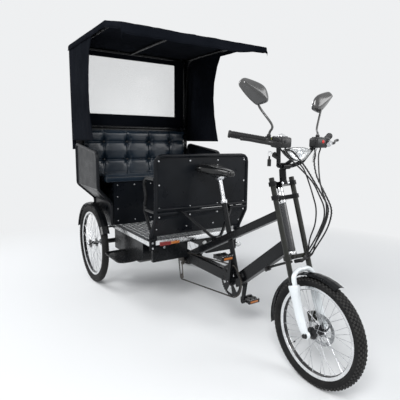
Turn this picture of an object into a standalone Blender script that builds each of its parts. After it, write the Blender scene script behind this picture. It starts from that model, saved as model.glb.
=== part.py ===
"""Cycle rickshaw with one steered front wheel, a passenger bench and a canopy.

Metres, +Z up, +X forward, +Y to the vehicle's left.  All places are measured
from the ground point under the rear axle, and the vehicle empty then puts the
middle of the whole length at the origin.
"""

import math

import bmesh
import bpy
from mathutils import Matrix, Vector

# Driving sizes: wheels
WHEELBASE = 2.018
BOX_HALF = 0.400
WHEEL_OUT = 0.059
TRACK_HALF = BOX_HALF + WHEEL_OUT
REAR_R = 0.328
REAR_RIM_R = 0.268
REAR_TYRE_W = 0.050
FRONT_R = 0.272
FRONT_RIM_R = 0.226
FRONT_TYRE_W = 0.056
RIM_W = 0.030
RIM_DEPTH = 0.016
SPOKES = 36
SPOKE_D = 0.0028
HUB_HALF = 0.042
HUB_FLANGE_R = 0.030
HUB_BARREL_R = 0.016
REAR_FLANGE_R = 0.036
PIN_R = 0.0065
PIN_BORE_R = 0.0075
ROTOR_R = 0.080
ROTOR_T = 0.002
ROTOR_Y = HUB_HALF - 0.002

# Driving sizes: fork and steering
HEAD_ANGLE = 71.0
FORK_RAKE = 0.059
STEER_LIMIT = 45.0
HEAD_BOTTOM = 0.386
HEAD_LENGTH = 0.286
HEAD_TUBE_R = 0.0225
HEAD_BORE_R = 0.0160
STEERER_R = 0.0145
STANCHION_R = 0.0135
STANCHION_GAP = 0.071
STANCHION_FWD = 0.037
STANCHION_TOP = 0.788
STANCHION_FOOT = 0.150
CROWN_T = 0.022
TOP_LUG_T = 0.745
LEG_TOP = 0.240
ARCH_R = 0.0125
FRONT_FENDER_R = 0.294
FRONT_FENDER_W = 0.066
FENDER_T = 0.002
BAR_R = 0.011
GRIP_R = 0.0165
STEM_R = 0.018
STEM_RISE = 0.071
STEM_REACH = 0.040
CONTROL_AT = 0.040

# Driving sizes: main frame
BB_BACK = 0.624
BB_X = WHEELBASE - BB_BACK
BB_Z = 0.349
BB_R = 0.022
BB_HALF = 0.036
BB_BORE_R = 0.0115
SPINDLE_R = 0.0105
SEAT_ANGLE = 71.5
SEAT_TUBE_R = 0.0165
SEAT_TUBE_LEN = 0.480
SEAT_POST_R = 0.0135
POST_REACH = 0.64666
POST_IN = 0.120
RAIL_HEAD_R = 0.017
UPPER_W = 0.050
UPPER_H = 0.046
UPPER_T = 0.607
UPPER_SLOPE = 26.4
DOWN_W = 0.056
DOWN_H = 0.070
DOWN_T = 0.441
DOWN_SLOPE = 38.4
LOWER_W = 0.050
LOWER_H = 0.076

# Driving sizes: crank
CRANK_L = 0.170
CRANK_ANGLE = 8.0
CRANK_W = 0.026
CRANK_T = 0.013
CRANK_Y = 0.069
RING_R = 0.096
RING_Y = 0.050
RING_T = 0.003
PEDAL_L = 0.088
PEDAL_W = 0.090
PEDAL_T = 0.024
CHAIN_W = 0.007
CHAIN_T = 0.008
CHAIN_RUN = 0.610
CASSETTE_X = BB_X - CHAIN_RUN
CASSETTE_Z = 0.349
CASSETTE_R = 0.034
JOCKEY_R = 0.019
JOCKEY_DROP = 0.150

# Driving sizes: body
FLOOR_BACK = 0.450
FLOOR_FRONT = BB_X - FLOOR_BACK
FLOOR_REAR = -0.150
FLOOR_IN = 0.015
FLOOR_HALF = BOX_HALF - FLOOR_IN
FLOOR_TOP = 0.535
PLATE_T = 0.003
TRIM_H = 0.030
RAIL_W = 0.030
RAIL_H = 0.040
RAIL_IN = 0.035
RAIL_Y = FLOOR_HALF - RAIL_IN
PART_LEAN = 0.065
PART_X = FLOOR_FRONT + PART_LEAN
PART_IN = 0.005
PART_HALF = FLOOR_HALF - PART_IN
PART_KNEE = 0.700
PART_TOP = 1.110
PART_RAIL_Z = 0.740
TUBE_R = 0.0125
SHEET_T = 0.003
BOX_FRONT = 0.320
DEEP_LOW = 0.385
DEEP_IN = 0.080
POD_REAR = 0.250
POD_SHORT = 0.154
POD_LOW = 0.335
POD_W = 0.100
POD_CORNER = 0.055
STEP_REACH = 0.135
STEP_T = 0.006
WHEEL_CLEAR = 0.040
BOX_TOP = 0.872
CUSHION_T = 0.056
CUSHION_IN = 0.085
BACK_X = -0.120
BACK_T = 0.070
BACK_TOP = 1.283
BACK_IN = 0.075
BOARD_T = 0.008
BOARD_TOP = 1.300
FLARE_OUT = 0.155
SIDE_HALF = BOX_HALF + FLARE_OUT
CUSHION_HALF = SIDE_HALF - CUSHION_IN
BACK_HALF = SIDE_HALF - BACK_IN
SIDE_FRONT = 0.420
FLARE_LOW = 0.705
FLARE_HIGH = 0.835
SIDE_TOP_FRONT = 1.100
SIDE_TOP_REAR = 1.165

# Driving sizes: canopy
ROOF_OVER = 0.005
ROOF_HALF = SIDE_HALF + ROOF_OVER
ROOF_Z = 1.958
ROOF_REAR = -0.175
ROOF_RIDGE = 0.690
ROOF_RIDGE_Z = 1.946
VISOR_X = 0.975
VISOR_Z = 1.872
SKIRT_H = 0.038
FABRIC_T = 0.004
HEM_Z = 1.195
REAR_HEM_Z = 1.120
WINDOW_HALF = 0.430
WINDOW_LOW = 1.420
WINDOW_HIGH = 1.905
POLE_R = 0.0110
STRUT_Y = -0.040

# Rear axle and fenders
AXLE_R = 0.020
AXLE_BORE_R = 0.0115
SHAFT_R = 0.0105
AXLE_SHORT = 0.059
AXLE_HALF = TRACK_HALF - AXLE_SHORT
DIFF_R = 0.062
DIFF_HALF = 0.045
MOTOR_R = 0.052
MOTOR_L = 0.130
FENDER_R = 0.352
FENDER_W = 0.068
FENDER_BACK = 164.0
FENDER_FRONT = 24.0

# Facets round a wheel
RIM_STEPS = 40

# Clearances
GAP = 0.0003
RUN = 0.001

# Derived places
REAR_END = (FENDER_R + FENDER_T / 2) * math.cos(math.radians(180.0 - FENDER_BACK))
REAR_X = -(WHEELBASE + FRONT_R - REAR_END) / 2
HEAD = math.radians(90.0 - HEAD_ANGLE)
UP = Vector((-math.sin(HEAD), 0.0, math.cos(HEAD)))
FWD = Vector((math.cos(HEAD), 0.0, math.sin(HEAD)))
LEFT = Vector((0.0, 1.0, 0.0))
FRONT_HUB = Vector((WHEELBASE, 0.0, FRONT_R))
AXIS_FOOT = FRONT_HUB - FWD * FORK_RAKE
HEAD_TOP = HEAD_BOTTOM + HEAD_LENGTH
BB = Vector((BB_X, 0.0, BB_Z))
SEAT_UP = Vector((-math.cos(math.radians(SEAT_ANGLE)), 0.0, math.sin(math.radians(SEAT_ANGLE))))
RAIL_TOP = FLOOR_TOP - PLATE_T - GAP
RAIL_LOW = RAIL_TOP - RAIL_H
LOWER_TOP = BB_Z + LOWER_H / 2


def steer(f, y, t):
    """Point f ahead of the steering axis, y to the left and t up along it."""
    return AXIS_FOOT + FWD * f + LEFT * y + UP * t


# Scene
for old in list(bpy.data.objects):
    bpy.data.objects.remove(old, do_unlink=True)

model = bpy.data.collections.new("cycle_rickshaw")
bpy.context.scene.collection.children.link(model)
cutters = bpy.data.collections.new("cutters")
bpy.context.scene.collection.children.link(cutters)


def material(name, colour, roughness, metallic):
    made = bpy.data.materials.new(name)
    made.use_nodes = True
    shader = made.node_tree.nodes["Principled BSDF"]
    shader.inputs["Base Color"].default_value = (colour[0], colour[1], colour[2], 1.0)
    shader.inputs["Roughness"].default_value = roughness
    shader.inputs["Metallic"].default_value = metallic
    return made


BLACK_PAINT = material("black_paint", (0.012, 0.014, 0.018), 0.35, 0.0)
SATIN_SHEET = material("satin_sheet", (0.030, 0.032, 0.036), 0.30, 0.3)
SILVER = material("silver", (0.62, 0.63, 0.64), 0.30, 1.0)
TREAD_PLATE = material("tread_plate", (0.70, 0.71, 0.72), 0.35, 1.0)
WHITE_CAST = material("white_cast", (0.82, 0.84, 0.85), 0.30, 0.0)
GUNMETAL = material("gunmetal", (0.05, 0.055, 0.05), 0.28, 0.8)
RUBBER = material("rubber", (0.02, 0.02, 0.02), 0.80, 0.0)
LEATHER = material("leather", (0.020, 0.024, 0.030), 0.45, 0.0)
FABRIC = material("fabric", (0.012, 0.013, 0.016), 0.85, 0.0)
CLEAR = material("clear", (0.85, 0.88, 0.88), 0.15, 0.0)
PLASTIC = material("plastic", (0.015, 0.015, 0.016), 0.45, 0.0)
AMBER = material("amber", (0.85, 0.30, 0.03), 0.25, 0.0)

# Bodies: one empty on each joint's axis
vehicle = bpy.data.objects.new("vehicle", None)
model.objects.link(vehicle)
vehicle.location = (REAR_X, 0.0, 0.0)

PIVOTS = {
    "root": Vector((0.0, 0.0, 0.0)),
    "steering": steer(0.0, 0.0, HEAD_BOTTOM),
    "front_wheel": FRONT_HUB.copy(),
    "rear_wheel_left": Vector((0.0, TRACK_HALF, REAR_R)),
    "rear_wheel_right": Vector((0.0, -TRACK_HALF, REAR_R)),
    "crank": BB.copy(),
}
CRANK_DIR = Vector((math.sin(math.radians(CRANK_ANGLE)), 0.0, math.cos(math.radians(CRANK_ANGLE))))
PEDAL_Y = CRANK_Y + CRANK_T / 2 + 0.007
PIVOTS["pedal_right"] = BB + CRANK_DIR * CRANK_L - LEFT * CRANK_Y
PIVOTS["pedal_left"] = BB - CRANK_DIR * CRANK_L + LEFT * CRANK_Y
PARENTS = {
    "steering": "root",
    "front_wheel": "steering",
    "rear_wheel_left": "root",
    "rear_wheel_right": "root",
    "crank": "root",
    "pedal_left": "crank",
    "pedal_right": "crank",
}
EMPTIES = {"root": vehicle}
for body, parent in PARENTS.items():
    empty = bpy.data.objects.new("axis_" + body, None)
    model.objects.link(empty)
    empty.parent = EMPTIES[parent]
    empty.location = PIVOTS[body] - PIVOTS[parent]
    EMPTIES[body] = empty


# Modelling helpers
def from_bmesh(name, bm):
    mesh = bpy.data.meshes.new(name)
    bm.normal_update()
    bm.to_mesh(mesh)
    bm.free()
    made = bpy.data.objects.new(name, mesh)
    cutters.objects.link(made)
    return made


def baked(obj, weld=0.00002):
    """The evaluated object as a plain mesh object, with its caps welded."""
    bpy.context.view_layer.update()
    graph = bpy.context.evaluated_depsgraph_get()
    mesh = bpy.data.meshes.new_from_object(obj.evaluated_get(graph))
    made = bpy.data.objects.new(obj.name + "_mesh", mesh)
    cutters.objects.link(made)
    made.matrix_world = obj.matrix_world
    bm = bmesh.new()
    bm.from_mesh(mesh)
    if weld > 0.0:
        bmesh.ops.remove_doubles(bm, verts=bm.verts, dist=weld)
    bm.transform(obj.matrix_world)
    bm.to_mesh(mesh)
    bm.free()
    made.matrix_world = Matrix.Identity(4)
    bpy.data.objects.remove(obj, do_unlink=True)
    return made


def box(name, size, centre, tilt=0.0, bevel=0.0):
    """Box turned by tilt degrees about Y, nose up when positive."""
    bm = bmesh.new()
    bmesh.ops.create_cube(bm, size=1.0)
    bmesh.ops.scale(bm, vec=Vector(size), verts=bm.verts)
    if bevel > 0.0:
        bmesh.ops.bevel(bm, geom=list(bm.edges), offset=bevel, segments=2, affect="EDGES", profile=0.5)
    bmesh.ops.rotate(bm, matrix=Matrix.Rotation(-math.radians(tilt), 3, "Y"), verts=bm.verts)
    bmesh.ops.translate(bm, vec=Vector(centre), verts=bm.verts)
    return from_bmesh(name, bm)


def turn_to(direction):
    return Vector((0.0, 0.0, 1.0)).rotation_difference(Vector(direction).normalized()).to_matrix().to_4x4()


def rod(name, radius, start, end, sides=16, end_radius=None):
    """Cylinder or cone from start to end."""
    start = Vector(start)
    end = Vector(end)
    bm = bmesh.new()
    last = radius if end_radius is None else end_radius
    length = (end - start).length
    bmesh.ops.create_cone(bm, cap_ends=True, segments=sides, radius1=radius, radius2=last, depth=length)
    bm.transform(Matrix.Translation((start + end) / 2) @ turn_to(end - start))
    return from_bmesh(name, bm)


def turned(name, profile, centre, direction, steps=16, closed=False):
    """Profile of (radius, height) pairs turned about an axis, top to bottom on the outside."""
    mesh = bpy.data.meshes.new(name)
    bm = bmesh.new()
    verts = [bm.verts.new((r, 0.0, h)) for r, h in profile]
    pairs = list(zip(verts, verts[1:]))
    if closed:
        pairs.append((verts[-1], verts[0]))
    for a, b in pairs:
        bm.edges.new((a, b))
    bm.to_mesh(mesh)
    bm.free()
    made = bpy.data.objects.new(name, mesh)
    cutters.objects.link(made)
    screw = made.modifiers.new("Screw", "SCREW")
    screw.axis = "Z"
    screw.steps = steps
    screw.render_steps = steps
    screw.use_merge_vertices = True
    screw.merge_threshold = 0.00005
    screw.use_smooth_shade = True
    made.matrix_world = Matrix.Translation(Vector(centre)) @ turn_to(direction)
    return baked(made)


def rounded(points, radius, steps=4, closed=False):
    """Polyline with its corners rounded to the radius."""
    points = [Vector(p) for p in points]
    out = []
    count = len(points)
    for i, p in enumerate(points):
        if not closed and i in (0, count - 1):
            out.append(p)
            continue
        before = points[(i - 1) % count] - p
        after = points[(i + 1) % count] - p
        bend = math.pi - before.angle(after)
        if bend < 0.05:
            out.append(p)
            continue
        reach = min(radius * math.tan(bend / 2), 0.49 * before.length, 0.49 * after.length)
        a = p + before.normalized() * reach
        b = p + after.normalized() * reach
        for k in range(steps + 1):
            s = k / steps
            out.append(a * (1 - s) ** 2 + p * 2 * s * (1 - s) + b * s ** 2)
    return out


def tube(name, points, radius, resolution=2, closed=False):
    """Round bar along a polyline."""
    curve = bpy.data.curves.new(name, "CURVE")
    curve.dimensions = "3D"
    curve.bevel_depth = radius
    curve.bevel_resolution = resolution
    curve.use_fill_caps = not closed
    spline = curve.splines.new("POLY")
    spline.points.add(len(points) - 1)
    for place, point in zip(spline.points, points):
        place.co = (point[0], point[1], point[2], 1.0)
    spline.use_cyclic_u = closed
    made = bpy.data.objects.new(name, curve)
    cutters.objects.link(made)
    return baked(made)


def plate(name, outlines, thickness, frame):
    """Flat outlines in the frame's XY plane, half the thickness on each side."""
    curve = bpy.data.curves.new(name, "CURVE")
    curve.dimensions = "2D"
    curve.fill_mode = "BOTH"
    curve.extrude = thickness / 2
    for outline in outlines:
        spline = curve.splines.new("POLY")
        spline.points.add(len(outline) - 1)
        for place, point in zip(spline.points, outline):
            place.co = (point[0], point[1], 0.0, 1.0)
        spline.use_cyclic_u = True
    made = bpy.data.objects.new(name, curve)
    cutters.objects.link(made)
    made.matrix_world = frame
    return baked(made)


def frame_at(origin, x_axis, y_axis):
    """Frame whose X and Y run along the two given directions."""
    x = Vector(x_axis).normalized()
    y = Vector(y_axis).normalized()
    z = x.cross(y)
    turn = Matrix((x, y, z)).transposed().to_4x4()
    return Matrix.Translation(Vector(origin)) @ turn


def boolean(target, tools, operation, keep=False):
    for tool in tools:
        step = target.modifiers.new("Boolean", "BOOLEAN")
        step.operation = operation
        step.solver = "EXACT"
        step.object = tool
    name = target.name
    made = baked(target, weld=0.0)
    made.name = name
    if not keep:
        for tool in tools:
            bpy.data.objects.remove(tool, do_unlink=True)
    return made


def join(target, *tools):
    return boolean(target, tools, "UNION")


def cut(target, *tools):
    return boolean(target, tools, "DIFFERENCE")


def mirrored(obj, name):
    """Copy of an object on the other side of the vehicle."""
    mesh = obj.data.copy()
    bm = bmesh.new()
    bm.from_mesh(mesh)
    bm.transform(Matrix.Scale(-1.0, 4, (0.0, 1.0, 0.0)))
    bmesh.ops.reverse_faces(bm, faces=bm.faces)
    bm.to_mesh(mesh)
    bm.free()
    made = bpy.data.objects.new(name, mesh)
    cutters.objects.link(made)
    return made


def piece(obj, name, body, look, smooth=True):
    """Hands a finished solid to the model: name, material, and origin on its body's axis."""
    for holder in list(obj.users_collection):
        holder.objects.unlink(obj)
    model.objects.link(obj)
    obj.name = name
    obj.data.name = name
    pivot = PIVOTS[body]
    obj.data.transform(Matrix.Translation(-pivot))
    obj.data.materials.clear()
    obj.data.materials.append(look)
    if smooth:
        obj.data.shade_smooth()
        obj.data.set_sharp_from_angle(angle=math.radians(35.0))
    obj.parent = EMPTIES[body]
    obj.location = (0.0, 0.0, 0.0)
    return obj


def arc(radius, start, end, steps):
    """Points of an arc in a plane, angles in degrees from forward towards up."""
    out = []
    for k in range(steps + 1):
        a = math.radians(start + (end - start) * k / steps)
        out.append((radius * math.cos(a), radius * math.sin(a)))
    return out


def circle(cx, cy, radius, steps):
    return [(cx + x, cy + y) for x, y in arc(radius, 0.0, 360.0 - 360.0 / steps, steps - 1)]


SIDE_FRAME = ((0.0, 0.0, 0.0), (1.0, 0.0, 0.0), (0.0, 0.0, 1.0))


# Wheels
def tyre(name, body, outer, rim, width, look):
    """Turned tyre seated on the rim, from a table of (share of the height, share of the width)."""
    height = outer - rim - GAP
    section = [
        (0.00, 0.42),
        (0.38, 1.00),
        (0.78, 0.84),
        (1.00, 0.24),
    ]
    right = [(rim + GAP + h * height, w * width / 2) for h, w in section]
    profile = right + [(r, -y) for r, y in reversed(right)]
    made = turned(name, list(reversed(profile)), PIVOTS[body], (0.0, 1.0, 0.0), steps=RIM_STEPS, closed=True)
    flip_outward(made)
    return piece(made, name, body, look)


def flip_outward(obj):
    bm = bmesh.new()
    bm.from_mesh(obj.data)
    bmesh.ops.recalc_face_normals(bm, faces=bm.faces)
    if bm.calc_volume(signed=True) < 0.0:
        bmesh.ops.reverse_faces(bm, faces=bm.faces)
    bm.to_mesh(obj.data)
    bm.free()


def spoke_set(centre, rim_in, flange_r, flange_y):
    """Crossed spokes: each flange carries half of them, alternately leading and trailing."""
    bm = bmesh.new()
    lean = math.radians(62.0)
    for k in range(SPOKES):
        side = 1.0 if k % 2 == 0 else -1.0
        lead = 1.0 if (k // 2) % 2 == 0 else -1.0
        at_rim = 2 * math.pi * k / SPOKES
        at_hub = at_rim + lead * lean
        seat_y = side * flange_y + lead * 0.0030
        start = Vector((flange_r * 0.86 * math.cos(at_hub), seat_y, flange_r * 0.86 * math.sin(at_hub)))
        rim_y = side * 0.004 + lead * 0.0022
        end = Vector((rim_in * math.cos(at_rim), rim_y, rim_in * math.sin(at_rim)))
        middle = Matrix.Translation(Vector(centre) + (start + end) / 2)
        bmesh.ops.create_cone(
            bm,
            cap_ends=True,
            segments=3,
            radius1=SPOKE_D / 2,
            radius2=SPOKE_D / 2,
            depth=(end - start).length,
            matrix=middle @ turn_to(end - start),
        )
    return from_bmesh("spokes", bm)


def wheel(name, body, rim_r, flange_r, shaft_in=0.0, shaft_side=0.0, disc=False):
    """Rim, spokes and hub as one welded wheel, with a drive shaft on one side when asked."""
    centre = PIVOTS[body]
    half = RIM_W / 2
    rim_profile = [
        (rim_r, half),
        (rim_r - RIM_DEPTH, half * 0.72),
        (rim_r - RIM_DEPTH, -half * 0.72),
        (rim_r, -half),
    ]
    rim = turned("rim", rim_profile, centre, LEFT, steps=RIM_STEPS, closed=True)
    flip_outward(rim)
    axle_r = 0.0
    if shaft_in == 0.0:
        axle_r = PIN_BORE_R
    hub_profile = [
        (axle_r, HUB_HALF),
        (HUB_BARREL_R * 0.8, HUB_HALF),
        (flange_r, HUB_HALF * 0.72),
        (flange_r, HUB_HALF * 0.50),
        (HUB_BARREL_R, HUB_HALF * 0.40),
        (HUB_BARREL_R, -HUB_HALF * 0.40),
        (flange_r, -HUB_HALF * 0.50),
        (flange_r, -HUB_HALF * 0.72),
        (HUB_BARREL_R * 0.8, -HUB_HALF),
        (axle_r, -HUB_HALF),
    ]
    hub = turned("hub", hub_profile, centre, LEFT, steps=16, closed=axle_r > 0.0)
    flip_outward(hub)
    parts = [hub]
    if shaft_in > 0.0:
        inner = Vector((centre.x, shaft_side * shaft_in, centre.z))
        parts.append(rod("shaft", SHAFT_R, centre + LEFT * shaft_side * (HUB_HALF + 0.012), inner, sides=16))
    if disc:
        parts.append(brake_disc())
    spokes = spoke_set(centre, rim_r - RIM_DEPTH * 0.6, flange_r, HUB_HALF * 0.62)
    made = join(spokes, rim, *parts)
    return piece(made, name, body, SILVER)


def brake_disc():
    """Slotted disc on the left end of the front hub."""
    disc_frame = frame_at(FRONT_HUB + LEFT * ROTOR_Y, (1.0, 0.0, 0.0), (0.0, 0.0, 1.0))
    slots = []
    for k in range(6):
        a = 2 * math.pi * k / 6
        slots.append(circle(0.052 * math.cos(a), 0.052 * math.sin(a), 0.016, 8))
    centre_hole = circle(0.0, 0.0, HUB_BARREL_R * 0.7, 12)
    return plate("disc", [circle(0.0, 0.0, ROTOR_R, 28), centre_hole] + slots, ROTOR_T, disc_frame)


tyre("front_tyre", "front_wheel", FRONT_R, FRONT_RIM_R, FRONT_TYRE_W, RUBBER)
wheel("front_wheel", "front_wheel", FRONT_RIM_R, HUB_FLANGE_R, disc=True)
for side_name, side in (("left", 1.0), ("right", -1.0)):
    rear_body = "rear_wheel_" + side_name
    tyre("rear_tyre_" + side_name, rear_body, REAR_R, REAR_RIM_R, REAR_TYRE_W, RUBBER)
    wheel(rear_body, rear_body, REAR_RIM_R, REAR_FLANGE_R, AXLE_HALF - 0.045, side)

# Fork: stanchions, crowns and steerer
def stanchion_bores():
    out = []
    for side in (1.0, -1.0):
        low = steer(STANCHION_FWD, side * STANCHION_GAP, STANCHION_FOOT - GAP)
        high = steer(STANCHION_FWD, side * STANCHION_GAP, STANCHION_TOP + 0.05)
        out.append(rod("bore", STANCHION_R + GAP, low, high, sides=16))
    return out


def crown(name, t_low, hub_r):
    """Clamp across both stanchions with a round hub on the steering axis."""
    t_high = t_low + CROWN_T
    middle = rod(name, hub_r, steer(0, 0, t_low), steer(0, 0, t_high), sides=16)
    arms = []
    for side in (1.0, -1.0):
        clamp_low = steer(STANCHION_FWD, side * STANCHION_GAP, t_low)
        clamp_high = steer(STANCHION_FWD, side * STANCHION_GAP, t_high)
        arms.append(rod("clamp", STANCHION_R + 0.0065, clamp_low, clamp_high, sides=16))
        reach = Vector((STANCHION_FWD, side * STANCHION_GAP))
        bm = bmesh.new()
        bmesh.ops.create_cube(bm, size=1.0)
        bmesh.ops.scale(bm, vec=(reach.length, 0.030, CROWN_T * 0.98), verts=bm.verts)
        bmesh.ops.rotate(bm, matrix=Matrix.Rotation(math.atan2(reach.y, reach.x), 3, "Z"), verts=bm.verts)
        centre = steer(STANCHION_FWD / 2, side * STANCHION_GAP / 2, (t_low + t_high) / 2)
        bm.transform(frame_at(centre, FWD, LEFT))
        arms.append(from_bmesh("arm", bm))
    return join(middle, *arms)


LOWER_CROWN_T = HEAD_BOTTOM - RUN - CROWN_T
MID_CROWN_T = HEAD_TOP + RUN
lower = crown("lower_crown", LOWER_CROWN_T, 0.027)
steerer_top = TOP_LUG_T + 0.012
upright = [rod("steerer", STEERER_R, steer(0, 0, LOWER_CROWN_T + 0.002), steer(0, 0, steerer_top), sides=16)]
for side in (1.0, -1.0):
    low = steer(STANCHION_FWD, side * STANCHION_GAP, STANCHION_FOOT)
    high = steer(STANCHION_FWD, side * STANCHION_GAP, STANCHION_TOP)
    upright.append(rod("stanchion", STANCHION_R, low, high, sides=16))
piece(join(lower, *upright), "fork_crown", "steering", GUNMETAL)

mid = crown("mid_crown", MID_CROWN_T, 0.025)
spacer_low = MID_CROWN_T + CROWN_T * 0.9
spacer_h = TOP_LUG_T + 0.002 - spacer_low
spacer_profile = [
    (0.0, spacer_h),
    (0.0205, spacer_h),
    (0.0205, spacer_h * 0.55),
    (0.0175, spacer_h * 0.45),
    (0.0220, spacer_h * 0.20),
    (0.0220, 0.0),
    (0.0, 0.0),
]
spacer = turned("spacer", spacer_profile, steer(0, 0, spacer_low), UP, steps=16)
flip_outward(spacer)
STEM_FOOT_F = 0.040
stem_low = steer(STEM_FOOT_F, 0, TOP_LUG_T)
CLAMP = stem_low + UP * (CROWN_T + STEM_RISE) + FWD * STEM_REACH
lug = crown("top_lug", TOP_LUG_T, 0.026)
knee = stem_low + UP * (CROWN_T + STEM_RISE - 0.010) + FWD * (STEM_REACH - 0.024)
top_clamp = join(
    mid,
    spacer,
    lug,
    rod("boss", STEM_R + 0.004, stem_low, stem_low + UP * CROWN_T, sides=16),
    rod("stem", STEM_R, stem_low + UP * 0.004, knee, sides=16),
    rod("neck", STEM_R * 0.9, knee - FWD * 0.002, CLAMP, sides=16),
    rod("bar_clamp", BAR_R + 0.006, CLAMP - LEFT * 0.026, CLAMP + LEFT * 0.026, sides=16),
)
steerer_bore = rod("bore", STEERER_R + GAP, steer(0, 0, HEAD_TOP - 0.01), steer(0, 0, steerer_top + GAP), sides=16)
bar_bore = rod("bore", BAR_R + GAP, CLAMP - LEFT * 0.040, CLAMP + LEFT * 0.040, sides=16)
piece(cut(top_clamp, steerer_bore, bar_bore, *stanchion_bores()), "top_clamp", "steering", BLACK_PAINT)

def lofted(name, stations, section, place):
    """Closed body through a few sections; place gives each section point its position."""
    bm = bmesh.new()
    rings = []
    for station in stations:
        rings.append([bm.verts.new(place(station, point)) for point in section])
    count = len(section)
    for a, b in zip(rings, rings[1:]):
        for k in range(count):
            n = (k + 1) % count
            bm.faces.new((a[k], a[n], b[n], b[k]))
    bm.faces.new(list(reversed(rings[0])))
    bm.faces.new(rings[-1])
    made = from_bmesh(name, bm)
    flip_outward(made)
    return made


# Fork lowers: two cast legs, dropouts and the arch over the tyre
# Stations down a leg: place ahead of the stanchion, half depth, half width, and height
LEG = (
    (0.006, 0.0300, 0.0205, LEG_TOP),
    (0.005, 0.0265, 0.0200, LEG_TOP - 0.018),
    (0.002, 0.0200, 0.0185, LEG_TOP - 0.050),
    (0.001, 0.0185, 0.0178, LEG_TOP - 0.090),
    (0.003, 0.0195, 0.0165, LEG_TOP - 0.145),
    (0.008, 0.0225, 0.0150, LEG_TOP - 0.190),
    (0.014, 0.0200, 0.0120, LEG_TOP - 0.222),
    (0.020, 0.0150, 0.0095, LEG_TOP - 0.246),
)
LEG_SECTION = [(math.cos(math.pi * k / 5), math.sin(math.pi * k / 5)) for k in range(10)]
legs = []
for side in (1.0, -1.0):
    def leg_point(station, point):
        ahead, deep, half, height = station
        return steer(STANCHION_FWD + ahead + deep * point[0], side * STANCHION_GAP + half * point[1], height)
    legs.append(lofted("leg", LEG, LEG_SECTION, leg_point))
    drop_centre = FRONT_HUB + LEFT * side * (STANCHION_GAP - 0.006)
    legs.append(rod("dropout", 0.017, drop_centre - LEFT * side * 0.006, drop_centre + LEFT * side * 0.010, sides=16))
arch_high = FRONT_FENDER_R + FENDER_T / 2 + 2 * GAP + ARCH_R
arch_points = [
    steer(STANCHION_FWD + 0.014, -STANCHION_GAP, LEG_TOP - 0.05),
    steer(STANCHION_FWD + 0.016, -STANCHION_GAP, LEG_TOP + 0.045),
    steer(STANCHION_FWD + 0.018, -STANCHION_GAP * 0.45, arch_high),
    steer(STANCHION_FWD + 0.018, STANCHION_GAP * 0.45, arch_high),
    steer(STANCHION_FWD + 0.016, STANCHION_GAP, LEG_TOP + 0.045),
    steer(STANCHION_FWD + 0.014, STANCHION_GAP, LEG_TOP - 0.05),
]
arch = tube("arch", rounded(arch_points, 0.05, steps=4), ARCH_R, resolution=2)
lowers = join(legs[0], *legs[1:])
lowers = join(lowers, arch)
pin_half = STANCHION_GAP + 0.006
lowers = join(lowers, rod("pin", PIN_R, FRONT_HUB - LEFT * pin_half, FRONT_HUB + LEFT * pin_half, sides=16))
lowers = cut(lowers, *stanchion_bores())
piece(lowers, "fork_lowers", "steering", WHITE_CAST)

# Fenders: arc section swept round the wheel and given its thickness
def fender(name, centre, radius, width, start, end, steps, crown_drop):
    bm = bmesh.new()
    rows = []
    shares = (-1.0, -0.62, 0.0, 0.62, 1.0)
    for x, z in arc(1.0, start, end, steps):
        row = []
        for s in shares:
            r = radius - crown_drop * s * s
            row.append(bm.verts.new((centre[0] + r * x, centre[1] + s * width / 2, centre[2] + r * z)))
        rows.append(row)
    for a, b in zip(rows, rows[1:]):
        for k in range(len(shares) - 1):
            bm.faces.new((a[k], a[k + 1], b[k + 1], b[k]))
    made = from_bmesh(name, bm)
    shell = made.modifiers.new("Solidify", "SOLIDIFY")
    shell.thickness = FENDER_T
    shell.offset = 0.0
    shell.use_even_offset = True
    made = baked(made)
    flip_outward(made)
    return made


front_fender = fender("front_fender", FRONT_HUB, FRONT_FENDER_R, FRONT_FENDER_W, 191.0, 65.0, 14, 0.010)
piece(front_fender, "front_fender", "steering", BLACK_PAINT)

for side_name, side in (("left", 1.0), ("right", -1.0)):
    hub_at = Vector((0.0, side * TRACK_HALF, REAR_R))
    made = fender("fender", hub_at, FENDER_R, FENDER_W, FENDER_BACK, FENDER_FRONT, 14, 0.010)
    edge_r = FENDER_R - 0.010
    edge_y = TRACK_HALF - FENDER_W / 2 + 0.003
    brackets = []
    for seat_y, seat_z in ((BOX_HALF - 0.013 + GAP + TUBE_R + SHEET_T / 2, 0.0), (FLOOR_HALF, FLOOR_TOP - 0.018 - REAR_R)):
        start_y = seat_y + GAP
        reach_x = math.sqrt(edge_r ** 2 - seat_z ** 2) if seat_z > 0.0 else 0.0
        at_z = seat_z if seat_z > 0.0 else edge_r
        centre = (reach_x, side * (start_y + edge_y) / 2, REAR_R + at_z)
        brackets.append(box("bracket", (0.030, edge_y - start_y, 0.006), centre))
    made = join(made, *brackets)
    piece(made, "rear_fender_" + side_name, "root", BLACK_PAINT)

# Handlebar
GRIP_IN = Vector((1.864, 0.163, 1.192))
GRIP_OUT = Vector((1.745, 0.352, 1.228))
SWITCH_AT = Vector((1.862, 0.122, 1.190))
SWITCH_SIZE = (0.050, 0.070, 0.046)
half_bar = [
    CLAMP,
    CLAMP + LEFT * 0.050,
    Vector((1.800, 0.082, 1.092)),
    Vector((1.836, 0.122, 1.170)),
    GRIP_IN,
    GRIP_OUT,
]
right_half = [Vector((p.x, -p.y, p.z)) for p in reversed(half_bar[1:])]
bar = tube("bar", rounded(right_half + half_bar, 0.03, steps=3), BAR_R, resolution=2)
piece(bar, "handlebar", "steering", BLACK_PAINT)

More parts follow.
